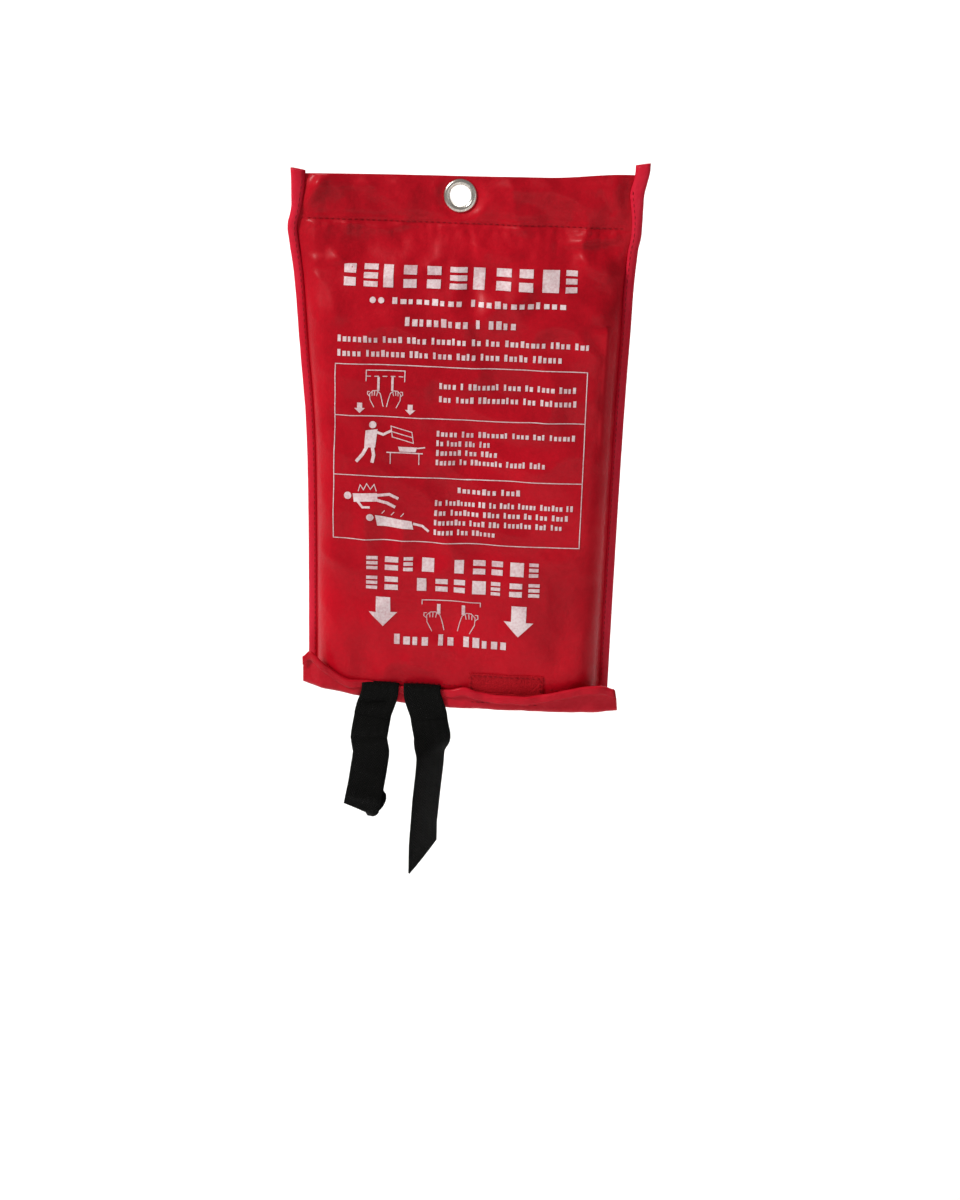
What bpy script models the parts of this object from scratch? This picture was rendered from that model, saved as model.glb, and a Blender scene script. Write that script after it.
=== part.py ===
"""Quick-release fire blanket in a soft hanging pouch.

A coated-cloth pouch hangs by one eyelet. It holds a glass-fibre blanket that is fan-folded
into a pack. Two webbing pull tapes are sewn to the pack, turn under the front panel, pass over
the closing lip and hang in front of it. Pulling them peels the lip open and draws the pack out.

Frame: metres, +Z up, front towards -Y, origin at the centre of the eyelet.
"""
import bpy
import math
from mathutils import Matrix, Vector

# ---- cloth, thread and clearances -------------------------------------------------------
CLOTH = 0.0006              # coated cloth of the pouch
SEAM_GAP = 0.0003           # between faces that touch on the real object
THREAD_RADIUS = 0.0002
STITCH_LENGTH = 0.0032

# ---- pouch ------------------------------------------------------------------------------
TOP_Z = 0.0115              # top edge above the eyelet's centre
TOP_SLOPE = 0.030           # the top edge rises towards the right
POUCH_CENTRE_X = 0.0056     # the eyelet is not quite in the middle
HEADER_SEAM_Z = -0.0145     # stitched line that shuts the pocket under the eyelet
LEFT_DRAW_IN = 0.0125       # how far the pack has drawn each side edge in
RIGHT_DRAW_IN = 0.0040
DRAW_IN_START = 0.020       # distance under the eyelet where the sides start to draw in
DRAW_IN_LENGTH = 0.055
BINDING_WIDTH = 0.0062
BINDING_LIFT = 0.0015       # the bindings stop this far above the bottom edge
HEM_HEIGHT = 0.0070
LEFT_EAR = 0.0016           # how far each binding's cut end stands above the top edge
RIGHT_EAR = 0.0050
BACK_PINCH = 0.0001         # the back panel's edges are pressed forward in their seams
PANEL_ROWS = 26

# ---- eyelet -----------------------------------------------------------------------------
EYELET_BORE = 0.0054
EYELET_WALL = 0.0005
EYELET_FLANGE = 0.0086
EYELET_DOME = 0.0013
WASHER_THICKNESS = 0.0007
EYELET_ROLL = 0.0009
EYELET_STEPS = 40

# ---- blanket pack -----------------------------------------------------------------------
LEAVES = 5                  # folds of 200 mm along the blanket
LEAF = 0.0021               # each leaf is itself seven layers of cloth
PACK_WIDTH = 0.1430
PACK_HEIGHT = 0.2000
PACK_HEADROOM = 0.0500      # empty pocket between the header seam and the pack
PACK_LIFT = 0.0025          # the pack sits this far above the pouch's bottom edge
PACK_SIDE_ROOM = 0.0107     # from the pack to the outside of the binding
PACK_SLACK = 0.0016         # loose cloth in front of the pack's top
SHOULDER_RISE = 0.0040      # the front panel slopes down from this far above the pack
PACK_CLEARANCE = 0.0003
TOP_LEAF_GAP = 0.0004
BOTTOM_LEAF_GAP = 0.0010
FOLD_SEGMENTS = 5

# ---- pull tapes -------------------------------------------------------------------------
TAPE_WIDTH = 0.0200
TAPE = 0.0012
TAPE_GAP = 0.0026           # between the two tapes at the mouth
TAPES_CENTRE_X = -0.0232    # middle of the pair
TAPE_ROOT_LENGTH = 0.0440
TACK_LENGTH = 0.0160
BEND_DROP = 0.0335          # from the lip's edge to the kink across both tapes
LEFT_TAPE_DROP = 0.0785
RIGHT_TAPE_DROP = 0.1025
LEFT_DRIFT = -0.0058        # how far each tape has strayed sideways at its kink
RIGHT_DRIFT = 0.0065
LEFT_FOLD_BACK = 0.0130     # length of the left tape's end that is folded up behind it
RIGHT_TWIST = math.radians(40)
RIGHT_SLANT = 0.62          # rise of the right tape's cut end, per unit of its width

# ---- closing lip and its hook-and-loop --------------------------------------------------
LIP_LEFT_OVERHANG = 0.0035  # beyond the bindings
LIP_RIGHT_OVERHANG = 0.0060
LIP_RISE = 0.0040           # its free edge, above the pouch's bottom edge
LIP_DROP = 0.0072
LIP_HINGE_DROP = 0.0013
LIP_CORNER = 0.0036
LIP_END_TAPER = 0.0140      # stretch at each end where the lip closes back to the seam
LIP_END_DEPTH = 0.0085
LIP_LEFT_RISE = 0.0110      # the left end has curled up by this much
LIP_CURL_START = 0.0240     # distance in from the left end where the curl starts
LIP_CURL_LENGTH = 0.0200
LIP_COLUMNS = 42
STRIP = 0.0008              # hook or loop strip
LOOP_STRIP_X = (0.0130, 0.0530)
LOOP_STRIP_RISE = 0.0150

# ---- worked out from the sizes above ----------------------------------------------------
BOTTOM_HALF_WIDTH = PACK_WIDTH / 2 + PACK_SIDE_ROOM
PACK_TOP_Z = HEADER_SEAM_Z - PACK_HEADROOM
PACK_BOTTOM_Z = PACK_TOP_Z - PACK_HEIGHT
POUCH_BOTTOM_Z = PACK_BOTTOM_Z - PACK_LIFT
BINDING_BOTTOM_Z = POUCH_BOTTOM_Z + BINDING_LIFT
HEM_SEAM_Z = POUCH_BOTTOM_Z + HEM_HEIGHT
LOOP_STRIP_TOP_Z = POUCH_BOTTOM_Z + LOOP_STRIP_RISE
PANEL_Y = (CLOTH + SEAM_GAP) / 2
BINDING_Y = PANEL_Y + CLOTH + SEAM_GAP
BINDING_FACE_Y = BINDING_Y + CLOTH / 2
SEAM_INSET = BINDING_WIDTH + 2 * SEAM_GAP
PACK_BACK_Y = -PANEL_Y + CLOTH / 2 + SEAM_GAP / 2 + PACK_CLEARANCE
PACK_TOP_DEPTH = PACK_BACK_Y + LEAVES * LEAF + (LEAVES - 1) * TOP_LEAF_GAP
PACK_BOTTOM_DEPTH = PACK_BACK_Y + LEAVES * LEAF + (LEAVES - 1) * BOTTOM_LEAF_GAP
ROOT_Y = PACK_BOTTOM_DEPTH + SEAM_GAP + TAPE / 2
TACK_ROOM = 2 * THREAD_RADIUS + 2 * SEAM_GAP
FRONT_DEPTH = ROOT_Y + TAPE / 2 + TACK_ROOM + CLOTH / 2
FRONT_FACE_Y = FRONT_DEPTH + CLOTH / 2
LOOP_Y = FRONT_FACE_Y + SEAM_GAP + STRIP / 2
HOOK_Y = LOOP_Y + STRIP + SEAM_GAP
LIP_Y = HOOK_Y + STRIP / 2 + SEAM_GAP + CLOTH / 2
RISER_Y = (FRONT_FACE_Y + LIP_Y - CLOTH / 2) / 2
HANG_Y = 2 * LIP_Y - RISER_Y
LIP_LEFT_X = POUCH_CENTRE_X - BOTTOM_HALF_WIDTH - LIP_LEFT_OVERHANG
LIP_RIGHT_X = POUCH_CENTRE_X + BOTTOM_HALF_WIDTH + LIP_RIGHT_OVERHANG
LIP_TOP_Z = POUCH_BOTTOM_Z + LIP_RISE
LIP_BOTTOM_Z = POUCH_BOTTOM_Z - LIP_DROP
LIP_HINGE_Z = POUCH_BOTTOM_Z - LIP_HINGE_DROP
TAPE_PITCH = TAPE_WIDTH + TAPE_GAP
LEFT_TAPE_X = TAPES_CENTRE_X - TAPE_PITCH / 2
RIGHT_TAPE_X = TAPES_CENTRE_X + TAPE_PITCH / 2
LEFT_BEND_X = LEFT_TAPE_X + LEFT_DRIFT
RIGHT_BEND_X = RIGHT_TAPE_X + RIGHT_DRIFT
SWING_Z = LIP_TOP_Z - SEAM_GAP - TAPE / 2 - SEAM_GAP
BEND_Z = LIP_TOP_Z - BEND_DROP
LEFT_TAPE_END_Z = LIP_TOP_Z - LEFT_TAPE_DROP
RIGHT_TAPE_END_Z = LIP_TOP_Z - RIGHT_TAPE_DROP


def clear_scene():
    for obj in list(bpy.data.objects):
        bpy.data.objects.remove(obj, do_unlink=True)


def make_material(name, colour, roughness, metallic=0.0):
    material = bpy.data.materials.new(name)
    material.use_nodes = True
    shader = material.node_tree.nodes["Principled BSDF"]
    shader.inputs["Base Color"].default_value = (*colour, 1.0)
    shader.inputs["Roughness"].default_value = roughness
    shader.inputs["Metallic"].default_value = metallic
    return material


clear_scene()
object_collection = bpy.data.collections.new("fire_blanket")
cutter_collection = bpy.data.collections.new("cutters")
bpy.context.scene.collection.children.link(object_collection)
bpy.context.scene.collection.children.link(cutter_collection)

FINISHES = {
    "coated_cloth": ((0.42, 0.012, 0.024), 0.42, 0.0),
    "binding_tape": ((0.52, 0.010, 0.030), 0.55, 0.0),
    "nickel": ((0.66, 0.62, 0.56), 0.28, 1.0),
    "thread": ((0.40, 0.010, 0.020), 0.70, 0.0),
    "hook_and_loop": ((0.38, 0.010, 0.022), 0.85, 0.0),
    "webbing": ((0.010, 0.010, 0.011), 0.80, 0.0),
    "tack_thread": ((0.020, 0.020, 0.020), 0.75, 0.0),
    "glass_cloth": ((0.80, 0.79, 0.74), 0.75, 0.0),
}


def make_pivot(name, location):
    """An empty on a joint's axis. The pieces of the body that turns there are its children."""
    pivot = bpy.data.objects.new(name, None)
    pivot.location = location
    pivot.empty_display_size = 0.01
    object_collection.objects.link(pivot)
    return pivot


def place(obj, pivot, finish):
    """Links a piece made in world coordinates, moving its origin to its body's pivot."""
    colour, roughness, metallic = FINISHES[finish]
    obj.data.materials.append(make_material(obj.name, colour, roughness, metallic))
    object_collection.objects.link(obj)
    if pivot is not None:
        obj.data.transform(Matrix.Translation(-Vector(pivot.location)))
        obj.parent = pivot
    return obj


def thicken(name, points, faces, thickness, pivot, finish):
    """A sheet of faces, thickened both ways from its middle."""
    mesh = bpy.data.meshes.new(name)
    mesh.from_pydata(points, [], faces)
    mesh.shade_smooth()
    obj = place(bpy.data.objects.new(name, mesh), pivot, finish)
    solidify = obj.modifiers.new("thickness", "SOLIDIFY")
    solidify.thickness = thickness
    solidify.offset = 0.0
    solidify.use_even_offset = True
    return obj


def cloth_sheet(name, grid, thickness, pivot, finish):
    """A sheet through a grid of points, rows by columns."""
    columns = len(grid[0])
    points = [point for row in grid for point in row]
    faces = []
    for r in range(len(grid) - 1):
        for c in range(columns - 1):
            corner = r * columns + c
            faces.append((corner, corner + 1, corner + columns + 1, corner + columns))
    return thicken(name, points, faces, thickness, pivot, finish)


def thread(name, points, pivot, finish="thread"):
    """One run of sewing thread: a thin round wire that rises over each stitch."""
    curve = bpy.data.curves.new(name, "CURVE")
    curve.dimensions = "3D"
    curve.bevel_depth = THREAD_RADIUS
    curve.bevel_resolution = 0
    curve.use_fill_caps = True
    spline = curve.splines.new("POLY")
    spline.points.add(len(points) - 1)
    for spot, point in zip(spline.points, points):
        spot.co = (*point, 1.0)
    return place(bpy.data.objects.new(name, curve), pivot, finish)


def stitched(route, lift):
    """Points along a straight or bent route, every second one lifted off the cloth."""
    points = []
    for start, end in zip(route, route[1:]):
        run = Vector(end) - Vector(start)
        count = max(2, 2 * round(run.length / STITCH_LENGTH))
        for step in range(count):
            points.append(Vector(start) + run * step / count)
    points.append(Vector(route[-1]))
    raised = Vector(lift)
    return [point + raised * (number % 2) for number, point in enumerate(points)]


def smooth_step(t):
    t = min(1.0, max(0.0, t))
    return t * t * (3 - 2 * t)


def steps(first, last, count):
    return [first + (last - first) * n / (count - 1) for n in range(count)]


# ---- pouch ------------------------------------------------------------------------------
def reach(side, z):
    """Distance from the pouch's middle to the outside of a side's binding, at a height."""
    below = max(0.0, -z - DRAW_IN_START)
    draw_in = LEFT_DRAW_IN if side < 0 else RIGHT_DRAW_IN
    return BOTTOM_HALF_WIDTH + draw_in * math.exp(-below / DRAW_IN_LENGTH)


def at(side, distance):
    """Where a distance out from the pouch's middle lies across the pouch."""
    return POUCH_CENTRE_X + side * distance


def edge_z(x, z):
    """The top edge is not quite level; every other height is left as it is."""
    return z + TOP_SLOPE * x if z > TOP_Z - 0.0001 else z


def front_bulge(z):
    """How far the front panel stands in front of the header's own layer, at a height."""
    over_pack = PACK_TOP_DEPTH + CLOTH + 2 * SEAM_GAP + PACK_SLACK - PANEL_Y
    full = FRONT_DEPTH - PANEL_Y
    shoulder_z = PACK_TOP_Z + SHOULDER_RISE
    if z > shoulder_z:
        return over_pack * smooth_step((HEADER_SEAM_Z - z) / (HEADER_SEAM_Z - shoulder_z))
    root_z = PACK_BOTTOM_Z + TAPE_ROOT_LENGTH + 0.0100
    return over_pack + (full - over_pack) * smooth_step((shoulder_z - z) / (shoulder_z - root_z))


def front_half(side, z):
    """Points from the middle of the front panel to one edge: over the pack, then into the seam."""
    bulge = 0.0 if z > HEADER_SEAM_Z - 0.0001 else front_bulge(z)
    seam = reach(side, z) - SEAM_INSET
    edge = reach(side, z) - CLOTH - SEAM_GAP
    shoulder = seam - 0.0004 - 0.10 * (seam - PACK_WIDTH / 2)
    across = [(0.0, 1.0), (0.42 * PACK_WIDTH / 2, 1.0), (0.78 * PACK_WIDTH / 2, 1.0)]
    across += [(PACK_WIDTH / 2 - 0.0020, 1.0), (shoulder, 0.86), (seam, 0.0), (edge, 0.0)]
    half = []
    for distance, share in across:
        x = at(side, distance)
        half.append((x, -PANEL_Y - bulge * share, edge_z(x, z)))
    return half


def front_row(z):
    left = front_half(-1, z)
    return left[:0:-1] + front_half(1, z)


def back_row(z):
    """Left edge, left and right sides of the flat field, right edge."""
    pinched_y = PANEL_Y - BACK_PINCH
    field_y = pinched_y if z > TOP_Z - 0.0001 else PANEL_Y
    row = []
    for side, inset, y in (
        (-1, CLOTH + SEAM_GAP, pinched_y),
        (-1, SEAM_INSET, field_y),
        (1, SEAM_INSET, field_y),
        (1, CLOTH + SEAM_GAP, pinched_y),
    ):
        x = at(side, reach(side, z) - inset)
        row.append((x, y, edge_z(x, z)))
    return row


def eyelet_cutter():
    bpy.ops.mesh.primitive_cylinder_add(
        vertices=EYELET_STEPS,
        radius=EYELET_BORE + EYELET_WALL + SEAM_GAP,
        depth=0.02,
        rotation=(math.pi / 2, 0, 0),
    )
    cutter = bpy.context.object
    cutter.name = "eyelet_cutter"
    cutter.hide_render = True
    cutter.display_type = "WIRE"
    for collection in list(cutter.users_collection):
        collection.objects.unlink(cutter)
    cutter_collection.objects.link(cutter)
    return cutter


def cut(obj, cutter):
    hole = obj.modifiers.new("hole", "BOOLEAN")
    hole.object = cutter
    hole.operation = "DIFFERENCE"


def build_back_panel():
    """One flat field, pinched forward a little in the side seams and above the header seam."""
    heights = [TOP_Z] + steps(HEADER_SEAM_Z, POUCH_BOTTOM_Z, 12)
    rows = [back_row(z) for z in heights]
    points = [point for row in rows for point in row]
    last = len(rows) - 1
    faces = [(1, 2, 6, 5)]
    for r in range(last):
        for c in (0, 2):
            corner = 4 * r + c
            faces.append((corner, corner + 1, corner + 5, corner + 4))
    left_side = [4 * r + 1 for r in range(last, 0, -1)]
    right_side = [4 * r + 2 for r in range(1, last + 1)]
    faces.append(tuple(left_side + right_side))
    return thicken("back_panel", points, faces, CLOTH, None, "coated_cloth")


def build_panels():
    cutter = eyelet_cutter()
    heights = [TOP_Z, HEADER_SEAM_Z + 0.0010]
    heights += steps(HEADER_SEAM_Z, POUCH_BOTTOM_Z, PANEL_ROWS)
    front = cloth_sheet("front_panel", [front_row(z) for z in heights], CLOTH, None, "coated_cloth")
    cut(front, cutter)
    cut(build_back_panel(), cutter)


def binding_row(z, side):
    outer = reach(side, z) - CLOTH / 2
    inner = reach(side, z) - BINDING_WIDTH
    section = [(inner, -BINDING_Y), (outer, -BINDING_Y), (outer, BINDING_Y), (inner, BINDING_Y)]
    return [(at(side, distance), y, z) for distance, y in section]


def build_binding(side, name, ear):
    """Tape folded over a side edge. Its cut end stands up above the pouch's top edge."""
    ear_z = edge_z(at(side, reach(side, TOP_Z)), TOP_Z) + ear
    heights = steps(ear_z, BINDING_BOTTOM_Z, 22)
    cloth_sheet(name, [binding_row(z, side) for z in heights], CLOTH, None, "binding_tape")
    seam_y = -BINDING_FACE_Y - SEAM_GAP - THREAD_RADIUS
    route = []
    for z in steps(TOP_Z - 0.005, BINDING_BOTTOM_Z + 0.003, 12):
        route.append((at(side, reach(side, z) - BINDING_WIDTH + 0.0016), seam_y, z))
    thread(name + "_stitching", stitched(route, (0, -THREAD_RADIUS, 0)), None)


def build_header_seam():
    y = -PANEL_Y - CLOTH / 2 - SEAM_GAP - THREAD_RADIUS
    route = []
    for side in (-1, 1):
        end = reach(side, HEADER_SEAM_Z) - SEAM_INSET - 0.0010
        route.append((at(side, end), y, HEADER_SEAM_Z + 0.0004))
    thread("header_stitching", stitched(route, (0, -THREAD_RADIUS, 0)), None)


def build_hem_seam():
    """The front panel's hem, sewn on each side of the loop strip."""
    y = -FRONT_FACE_Y - SEAM_GAP - THREAD_RADIUS
    end = PACK_WIDTH / 2 - 0.0045
    clear = 0.0030
    runs = {
        "front_hem_stitching_left": (at(-1, end), LOOP_STRIP_X[0] - clear),
        "front_hem_stitching_right": (LOOP_STRIP_X[1] + clear, at(1, end)),
    }
    for name, (start, end) in runs.items():
        route = [(start, y, HEM_SEAM_Z), (end, y, HEM_SEAM_Z)]
        thread(name, stitched(route, (0, -THREAD_RADIUS, 0)), None)


# ---- eyelet -----------------------------------------------------------------------------
def turned(name, profile):
    """A closed profile of radius and height, turned about the eyelet's axis, +height forward."""
    mesh = bpy.data.meshes.new(name)
    count = len(profile)
    points = [(radius, 0.0, height) for radius, height in profile]
    mesh.from_pydata(points, [(n, (n + 1) % count) for n in range(count)], [])
    obj = bpy.data.objects.new(name, mesh)
    obj.rotation_euler = (math.pi / 2, 0, 0)
    place(obj, None, "nickel")
    screw = obj.modifiers.new("turn", "SCREW")
    screw.steps = EYELET_STEPS
    screw.render_steps = EYELET_STEPS
    screw.use_merge_vertices = True
    screw.merge_threshold = 0.00001
    screw.use_smooth_shade = True
    return obj


def build_eyelet():
    """The barrel passes through both panels and is rolled over the washer behind them."""
    face = PANEL_Y + CLOTH / 2 + SEAM_GAP
    crest = face + EYELET_DOME
    tube = EYELET_BORE + EYELET_WALL
    washer_back = face + WASHER_THICKNESS
    roll_front = washer_back + SEAM_GAP
    roll_back = roll_front + EYELET_ROLL
    middle = (EYELET_BORE + EYELET_FLANGE) / 2
    barrel = [
        (middle, crest),
        (middle + 0.0009, crest - 0.0002),
        (EYELET_FLANGE - 0.0002, face + 0.0006),
        (EYELET_FLANGE, face + 0.0002),
        (EYELET_FLANGE, face),
        (tube, face),
        (tube, -roll_front),
        (tube + 0.0010, -roll_front),
        (tube + 0.0012, -roll_front - EYELET_ROLL / 2),
        (tube + 0.0006, -roll_back),
        (EYELET_BORE + 0.0003, -roll_back),
        (EYELET_BORE, -roll_back + 0.0003),
        (EYELET_BORE, crest - 0.0008),
        (EYELET_BORE + 0.0005, crest - 0.0002),
    ]
    turned("eyelet_barrel", barrel)
    washer = [
        (EYELET_FLANGE - 0.0003, -face),
        (EYELET_FLANGE, -face - 0.0003),
        (EYELET_FLANGE, -washer_back),
        (tube + SEAM_GAP, -washer_back),
        (tube + SEAM_GAP, -face),
    ]
    turned("eyelet_washer", washer)


# ---- blanket pack -----------------------------------------------------------------------
def leaf_y(leaf, z):
    """Middle of a leaf of the pack, counted from the back. The pack thins towards its top."""
    share = (z - PACK_BOTTOM_Z) / PACK_HEIGHT
    gap = BOTTOM_LEAF_GAP + (TOP_LEAF_GAP - BOTTOM_LEAF_GAP) * share
    return -(PACK_BACK_Y + LEAF / 2 + leaf * (LEAF + gap))


def pack_front_y(z):
    return leaf_y(LEAVES - 1, z) - LEAF / 2


def pack_profile():
    """The fan fold seen from its side: leaves joined by round folds, ending low at the front."""
    high = PACK_TOP_Z - LEAF - TOP_LEAF_GAP / 2
    low = PACK_BOTTOM_Z + LEAF + BOTTOM_LEAF_GAP / 2
    route = []
    for leaf in range(LEAVES):
        going_down = leaf % 2 == 0
        start, end = (high, low) if going_down else (low, high)
        if leaf == 0:
            start = PACK_TOP_Z
        if leaf == LEAVES - 1:
            end = PACK_BOTTOM_Z
        route += [(leaf_y(leaf, z), z) for z in steps(start, end, 4)]
        if leaf < LEAVES - 1:
            here, there = leaf_y(leaf, end), leaf_y(leaf + 1, end)
            radius = (here - there) / 2
            sign = -1 if going_down else 1
            for n in range(1, FOLD_SEGMENTS):
                angle = math.pi * n / FOLD_SEGMENTS
                middle = (here + there) / 2
                route.append((middle + radius * math.cos(angle), end + sign * radius * math.sin(angle)))
    return route


def build_blanket(pivot):
    half = PACK_WIDTH / 2
    grid = [[(at(1, x), y, z) for x in (-half, 0.0, half)] for y, z in pack_profile()]
    cloth_sheet("folded_blanket", grid, LEAF, pivot, "glass_cloth")
    seam_z = PACK_TOP_Z - 0.0120
    y = pack_front_y(seam_z) - SEAM_GAP - THREAD_RADIUS
    route = [(at(side, half - 0.0040), y, seam_z) for side in (-1, 1)]
    thread("blanket_hem_stitching", stitched(route, (0, -THREAD_RADIUS, 0)), pivot, "glass_cloth")


# ---- pull tapes -------------------------------------------------------------------------
def ribbon(name, stations, pivot):
    """Webbing lofted along stations of centre, width direction, normal and half sizes.

    It turns over folds and twists about its length, so no sweep or extrusion makes it."""
    points = []
    for centre, across, normal, half, thick in stations:
        for a, n in ((-1, -1), (1, -1), (1, 1), (-1, 1)):
            points.append(Vector(centre) + Vector(across) * (a * half) + Vector(normal) * (n * thick))
    faces = [(3, 2, 1, 0)]
    for ring in range(len(stations) - 1):
        base = 4 * ring
        for side in range(4):
            after = (side + 1) % 4
            faces.append((base + side, base + after, base + 4 + after, base + 4 + side))
    last = 4 * (len(stations) - 1)
    faces.append((last, last + 1, last + 2, last + 3))
    mesh = bpy.data.meshes.new(name)
    mesh.from_pydata(points, [], faces)
    mesh.shade_smooth()
    mesh.set_sharp_from_angle(angle=math.radians(40))
    return place(bpy.data.objects.new(name, mesh), pivot, "webbing")


def arc(centre_y, centre_z, radius, start, end, count):
    """Points and outward normals round part of a circle, angles from -Y towards +Z."""
    found = []
    for angle in steps(start, end, count):
        normal = (0.0, -math.cos(angle), math.sin(angle))
        found.append(((centre_y + radius * normal[1], centre_z + radius * normal[2]), normal))
    return found


def build_tape_root(side, x, pivot):
    """From the pack's front leaf, under the front panel's edge, up, and over the lip's edge."""
    top_z = PACK_BOTTOM_Z + TAPE_ROOT_LENGTH
    half, thick = TAPE_WIDTH / 2, TAPE / 2
    forward = (0.0, -1.0, 0.0)
    stations = []
    for z in steps(top_z, PACK_BOTTOM_Z, 5):
        y = pack_front_y(z) - SEAM_GAP - thick
        stations.append(((x, y, z), (1, 0, 0), forward, half, thick))
    turn_y = -(ROOT_Y + RISER_Y) / 2
    turn_radius = (RISER_Y - ROOT_Y) / 2
    for (y, z), normal in arc(turn_y, POUCH_BOTTOM_Z, turn_radius, math.pi, 2 * math.pi, 9):
        inward = [-part for part in normal]
        stations.append(((x, y, z), (1, 0, 0), inward, half, thick))
    over_radius = (HANG_Y - RISER_Y) / 2
    for (y, z), normal in arc(-LIP_Y, LIP_TOP_Z - SEAM_GAP, over_radius, math.pi, 0, 9):
        stations.append(((x, y, z), (1, 0, 0), normal, half, thick))
    ribbon(side + "_tape_root", stations, pivot)
    tack = []
    rows = 6
    for row in range(rows + 1):
        z = top_z - 0.0020 - TACK_LENGTH * row / rows
        y = pack_front_y(z) - SEAM_GAP - TAPE - SEAM_GAP - THREAD_RADIUS
        ends = (x - half + 0.0020, x + half - 0.0020)
        tack.append((ends[row % 2], y, z))
    thread(side + "_tape_stitching", tack, pivot, "tack_thread")


def round_end(x, z, across, normal, above):
    """Stations that round off a tape's end about a hinge axis, so that it can turn there."""
    half, thick = TAPE_WIDTH / 2, TAPE / 2
    angles = [math.radians(a) for a in (80, 55, 30, 0)]
    found = []
    for angle in angles:
        rise = thick * math.sin(angle) * above
        found.append(((x, -HANG_Y, z + rise), across, normal, half, thick * math.cos(angle)))
    return found


def turned_across(angle):
    """Width direction and normal of a tape that is twisted about the vertical."""
    across = (math.cos(angle), math.sin(angle), 0.0)
    normal = (math.sin(angle), -math.cos(angle), 0.0)
    return across, normal


def build_upper_tape(side, x_top, x_bend, pivot):
    across, normal = turned_across(0.0)
    half, thick = TAPE_WIDTH / 2, TAPE / 2
    stations = round_end(x_top, SWING_Z, across, normal, 1)
    end_z = BEND_Z + thick + SEAM_GAP
    for share in (0.25, 0.5, 0.75, 1.0):
        x = x_top + (x_bend - x_top) * smooth_step(share)
        z = SWING_Z + (end_z - SWING_Z) * share
        stations.append(((x, -HANG_Y, z), across, normal, half, thick))
    ribbon(side + "_tape", stations, pivot)


def build_left_end(x_bend, pivot):
    """The left tape's end is folded up behind itself."""
    across, normal = turned_across(0.0)
    half, thick = TAPE_WIDTH / 2, TAPE / 2
    fold_radius = thick + SEAM_GAP
    fold_z = LEFT_TAPE_END_Z + fold_radius + thick
    x_end = x_bend - 0.0022
    stations = round_end(x_bend, BEND_Z, across, normal, 1)
    for share in (0.35, 0.7, 1.0):
        x = x_bend + (x_end - x_bend) * share
        z = BEND_Z + (fold_z - BEND_Z) * share
        stations.append(((x, -HANG_Y, z), across, normal, half, thick))
    for (y, z), outward in arc(-HANG_Y + fold_radius, fold_z, fold_radius, 0, -math.pi, 7)[1:]:
        stations.append(((x_end, y, z), across, outward, half, thick))
    tail_y = -HANG_Y + 2 * fold_radius
    stations.append(((x_end, tail_y, fold_z + LEFT_FOLD_BACK), across, (0, 1, 0), half, thick))
    ribbon("left_tape_end", stations, pivot)


def build_right_end(x_bend, pivot):
    """The right tape's lower part is twisted about its length and cut off at a slant."""
    half, thick = TAPE_WIDTH / 2, TAPE / 2
    stations = round_end(x_bend, BEND_Z, *turned_across(0.0), 1)
    x_end = x_bend - 0.0055
    for share in steps(0.15, 1.0, 7):
        across, normal = turned_across(RIGHT_TWIST * smooth_step(2.5 * share))
        x = x_bend + (x_end - x_bend) * share
        z = BEND_Z + (RIGHT_TAPE_END_Z - BEND_Z) * share
        if share == 1.0:
            across = (*across[:2], RIGHT_SLANT)
        stations.append(((x, -HANG_Y, z), across, normal, half, thick))
    ribbon("right_tape_end", stations, pivot)


# ---- closing lip ------------------------------------------------------------------------
def lip_front_y(x):
    """The lip's front wall closes back towards the side seams at both ends."""
    inward = min(x - LIP_LEFT_X, LIP_RIGHT_X - x)
    taper = 1 - smooth_step(inward / LIP_END_TAPER)
    return -LIP_Y + (LIP_Y - LIP_END_DEPTH) * taper


def lip_top_z(x):
    rise = smooth_step((LIP_CURL_START - (x - LIP_LEFT_X)) / LIP_CURL_LENGTH)
    return LIP_TOP_Z + LIP_LEFT_RISE * rise


def lip_column(x):
    """The lip's section, from the back panel's bottom edge round to its free front edge."""
    front = lip_front_y(x)
    turns = [math.radians(a) for a in (0, 30, 60, 90)]
    column = [(PANEL_Y, POUCH_BOTTOM_Z - SEAM_GAP)]
    for a in turns:
        y = PANEL_Y - LIP_CORNER + LIP_CORNER * math.cos(a)
        z = LIP_BOTTOM_Z + LIP_CORNER - LIP_CORNER * math.sin(a)
        column.append((y, z))
    for a in reversed(turns):
        y = front + LIP_CORNER - LIP_CORNER * math.cos(a)
        z = LIP_BOTTOM_Z + LIP_CORNER - LIP_CORNER * math.sin(a)
        column.append((y, z))
    column.append((front, lip_top_z(x)))
    return [(x, y, z) for y, z in column]


def build_lip(pivot):
    columns = [lip_column(x) for x in steps(LIP_LEFT_X, LIP_RIGHT_X, LIP_COLUMNS)]
    cloth_sheet("closing_lip", columns, CLOTH, pivot, "coated_cloth")
    top, bottom = LIP_TOP_Z - 0.0006, LIP_BOTTOM_Z + LIP_CORNER + 0.0004
    ends = LOOP_STRIP_X
    grid = [[(x, -HOOK_Y, z) for x in steps(ends[0], ends[1], 3)] for z in (top, bottom)]
    cloth_sheet("hook_strip", grid, STRIP, pivot, "hook_and_loop")
    y = -LIP_Y - CLOTH / 2 - SEAM_GAP - THREAD_RADIUS
    row_z = (top + bottom) / 2
    route = [(ends[0] + 0.001, y, row_z), (ends[1] - 0.001, y, row_z)]
    thread("hook_strip_stitching", stitched(route, (0, -THREAD_RADIUS, 0)), pivot)


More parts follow.
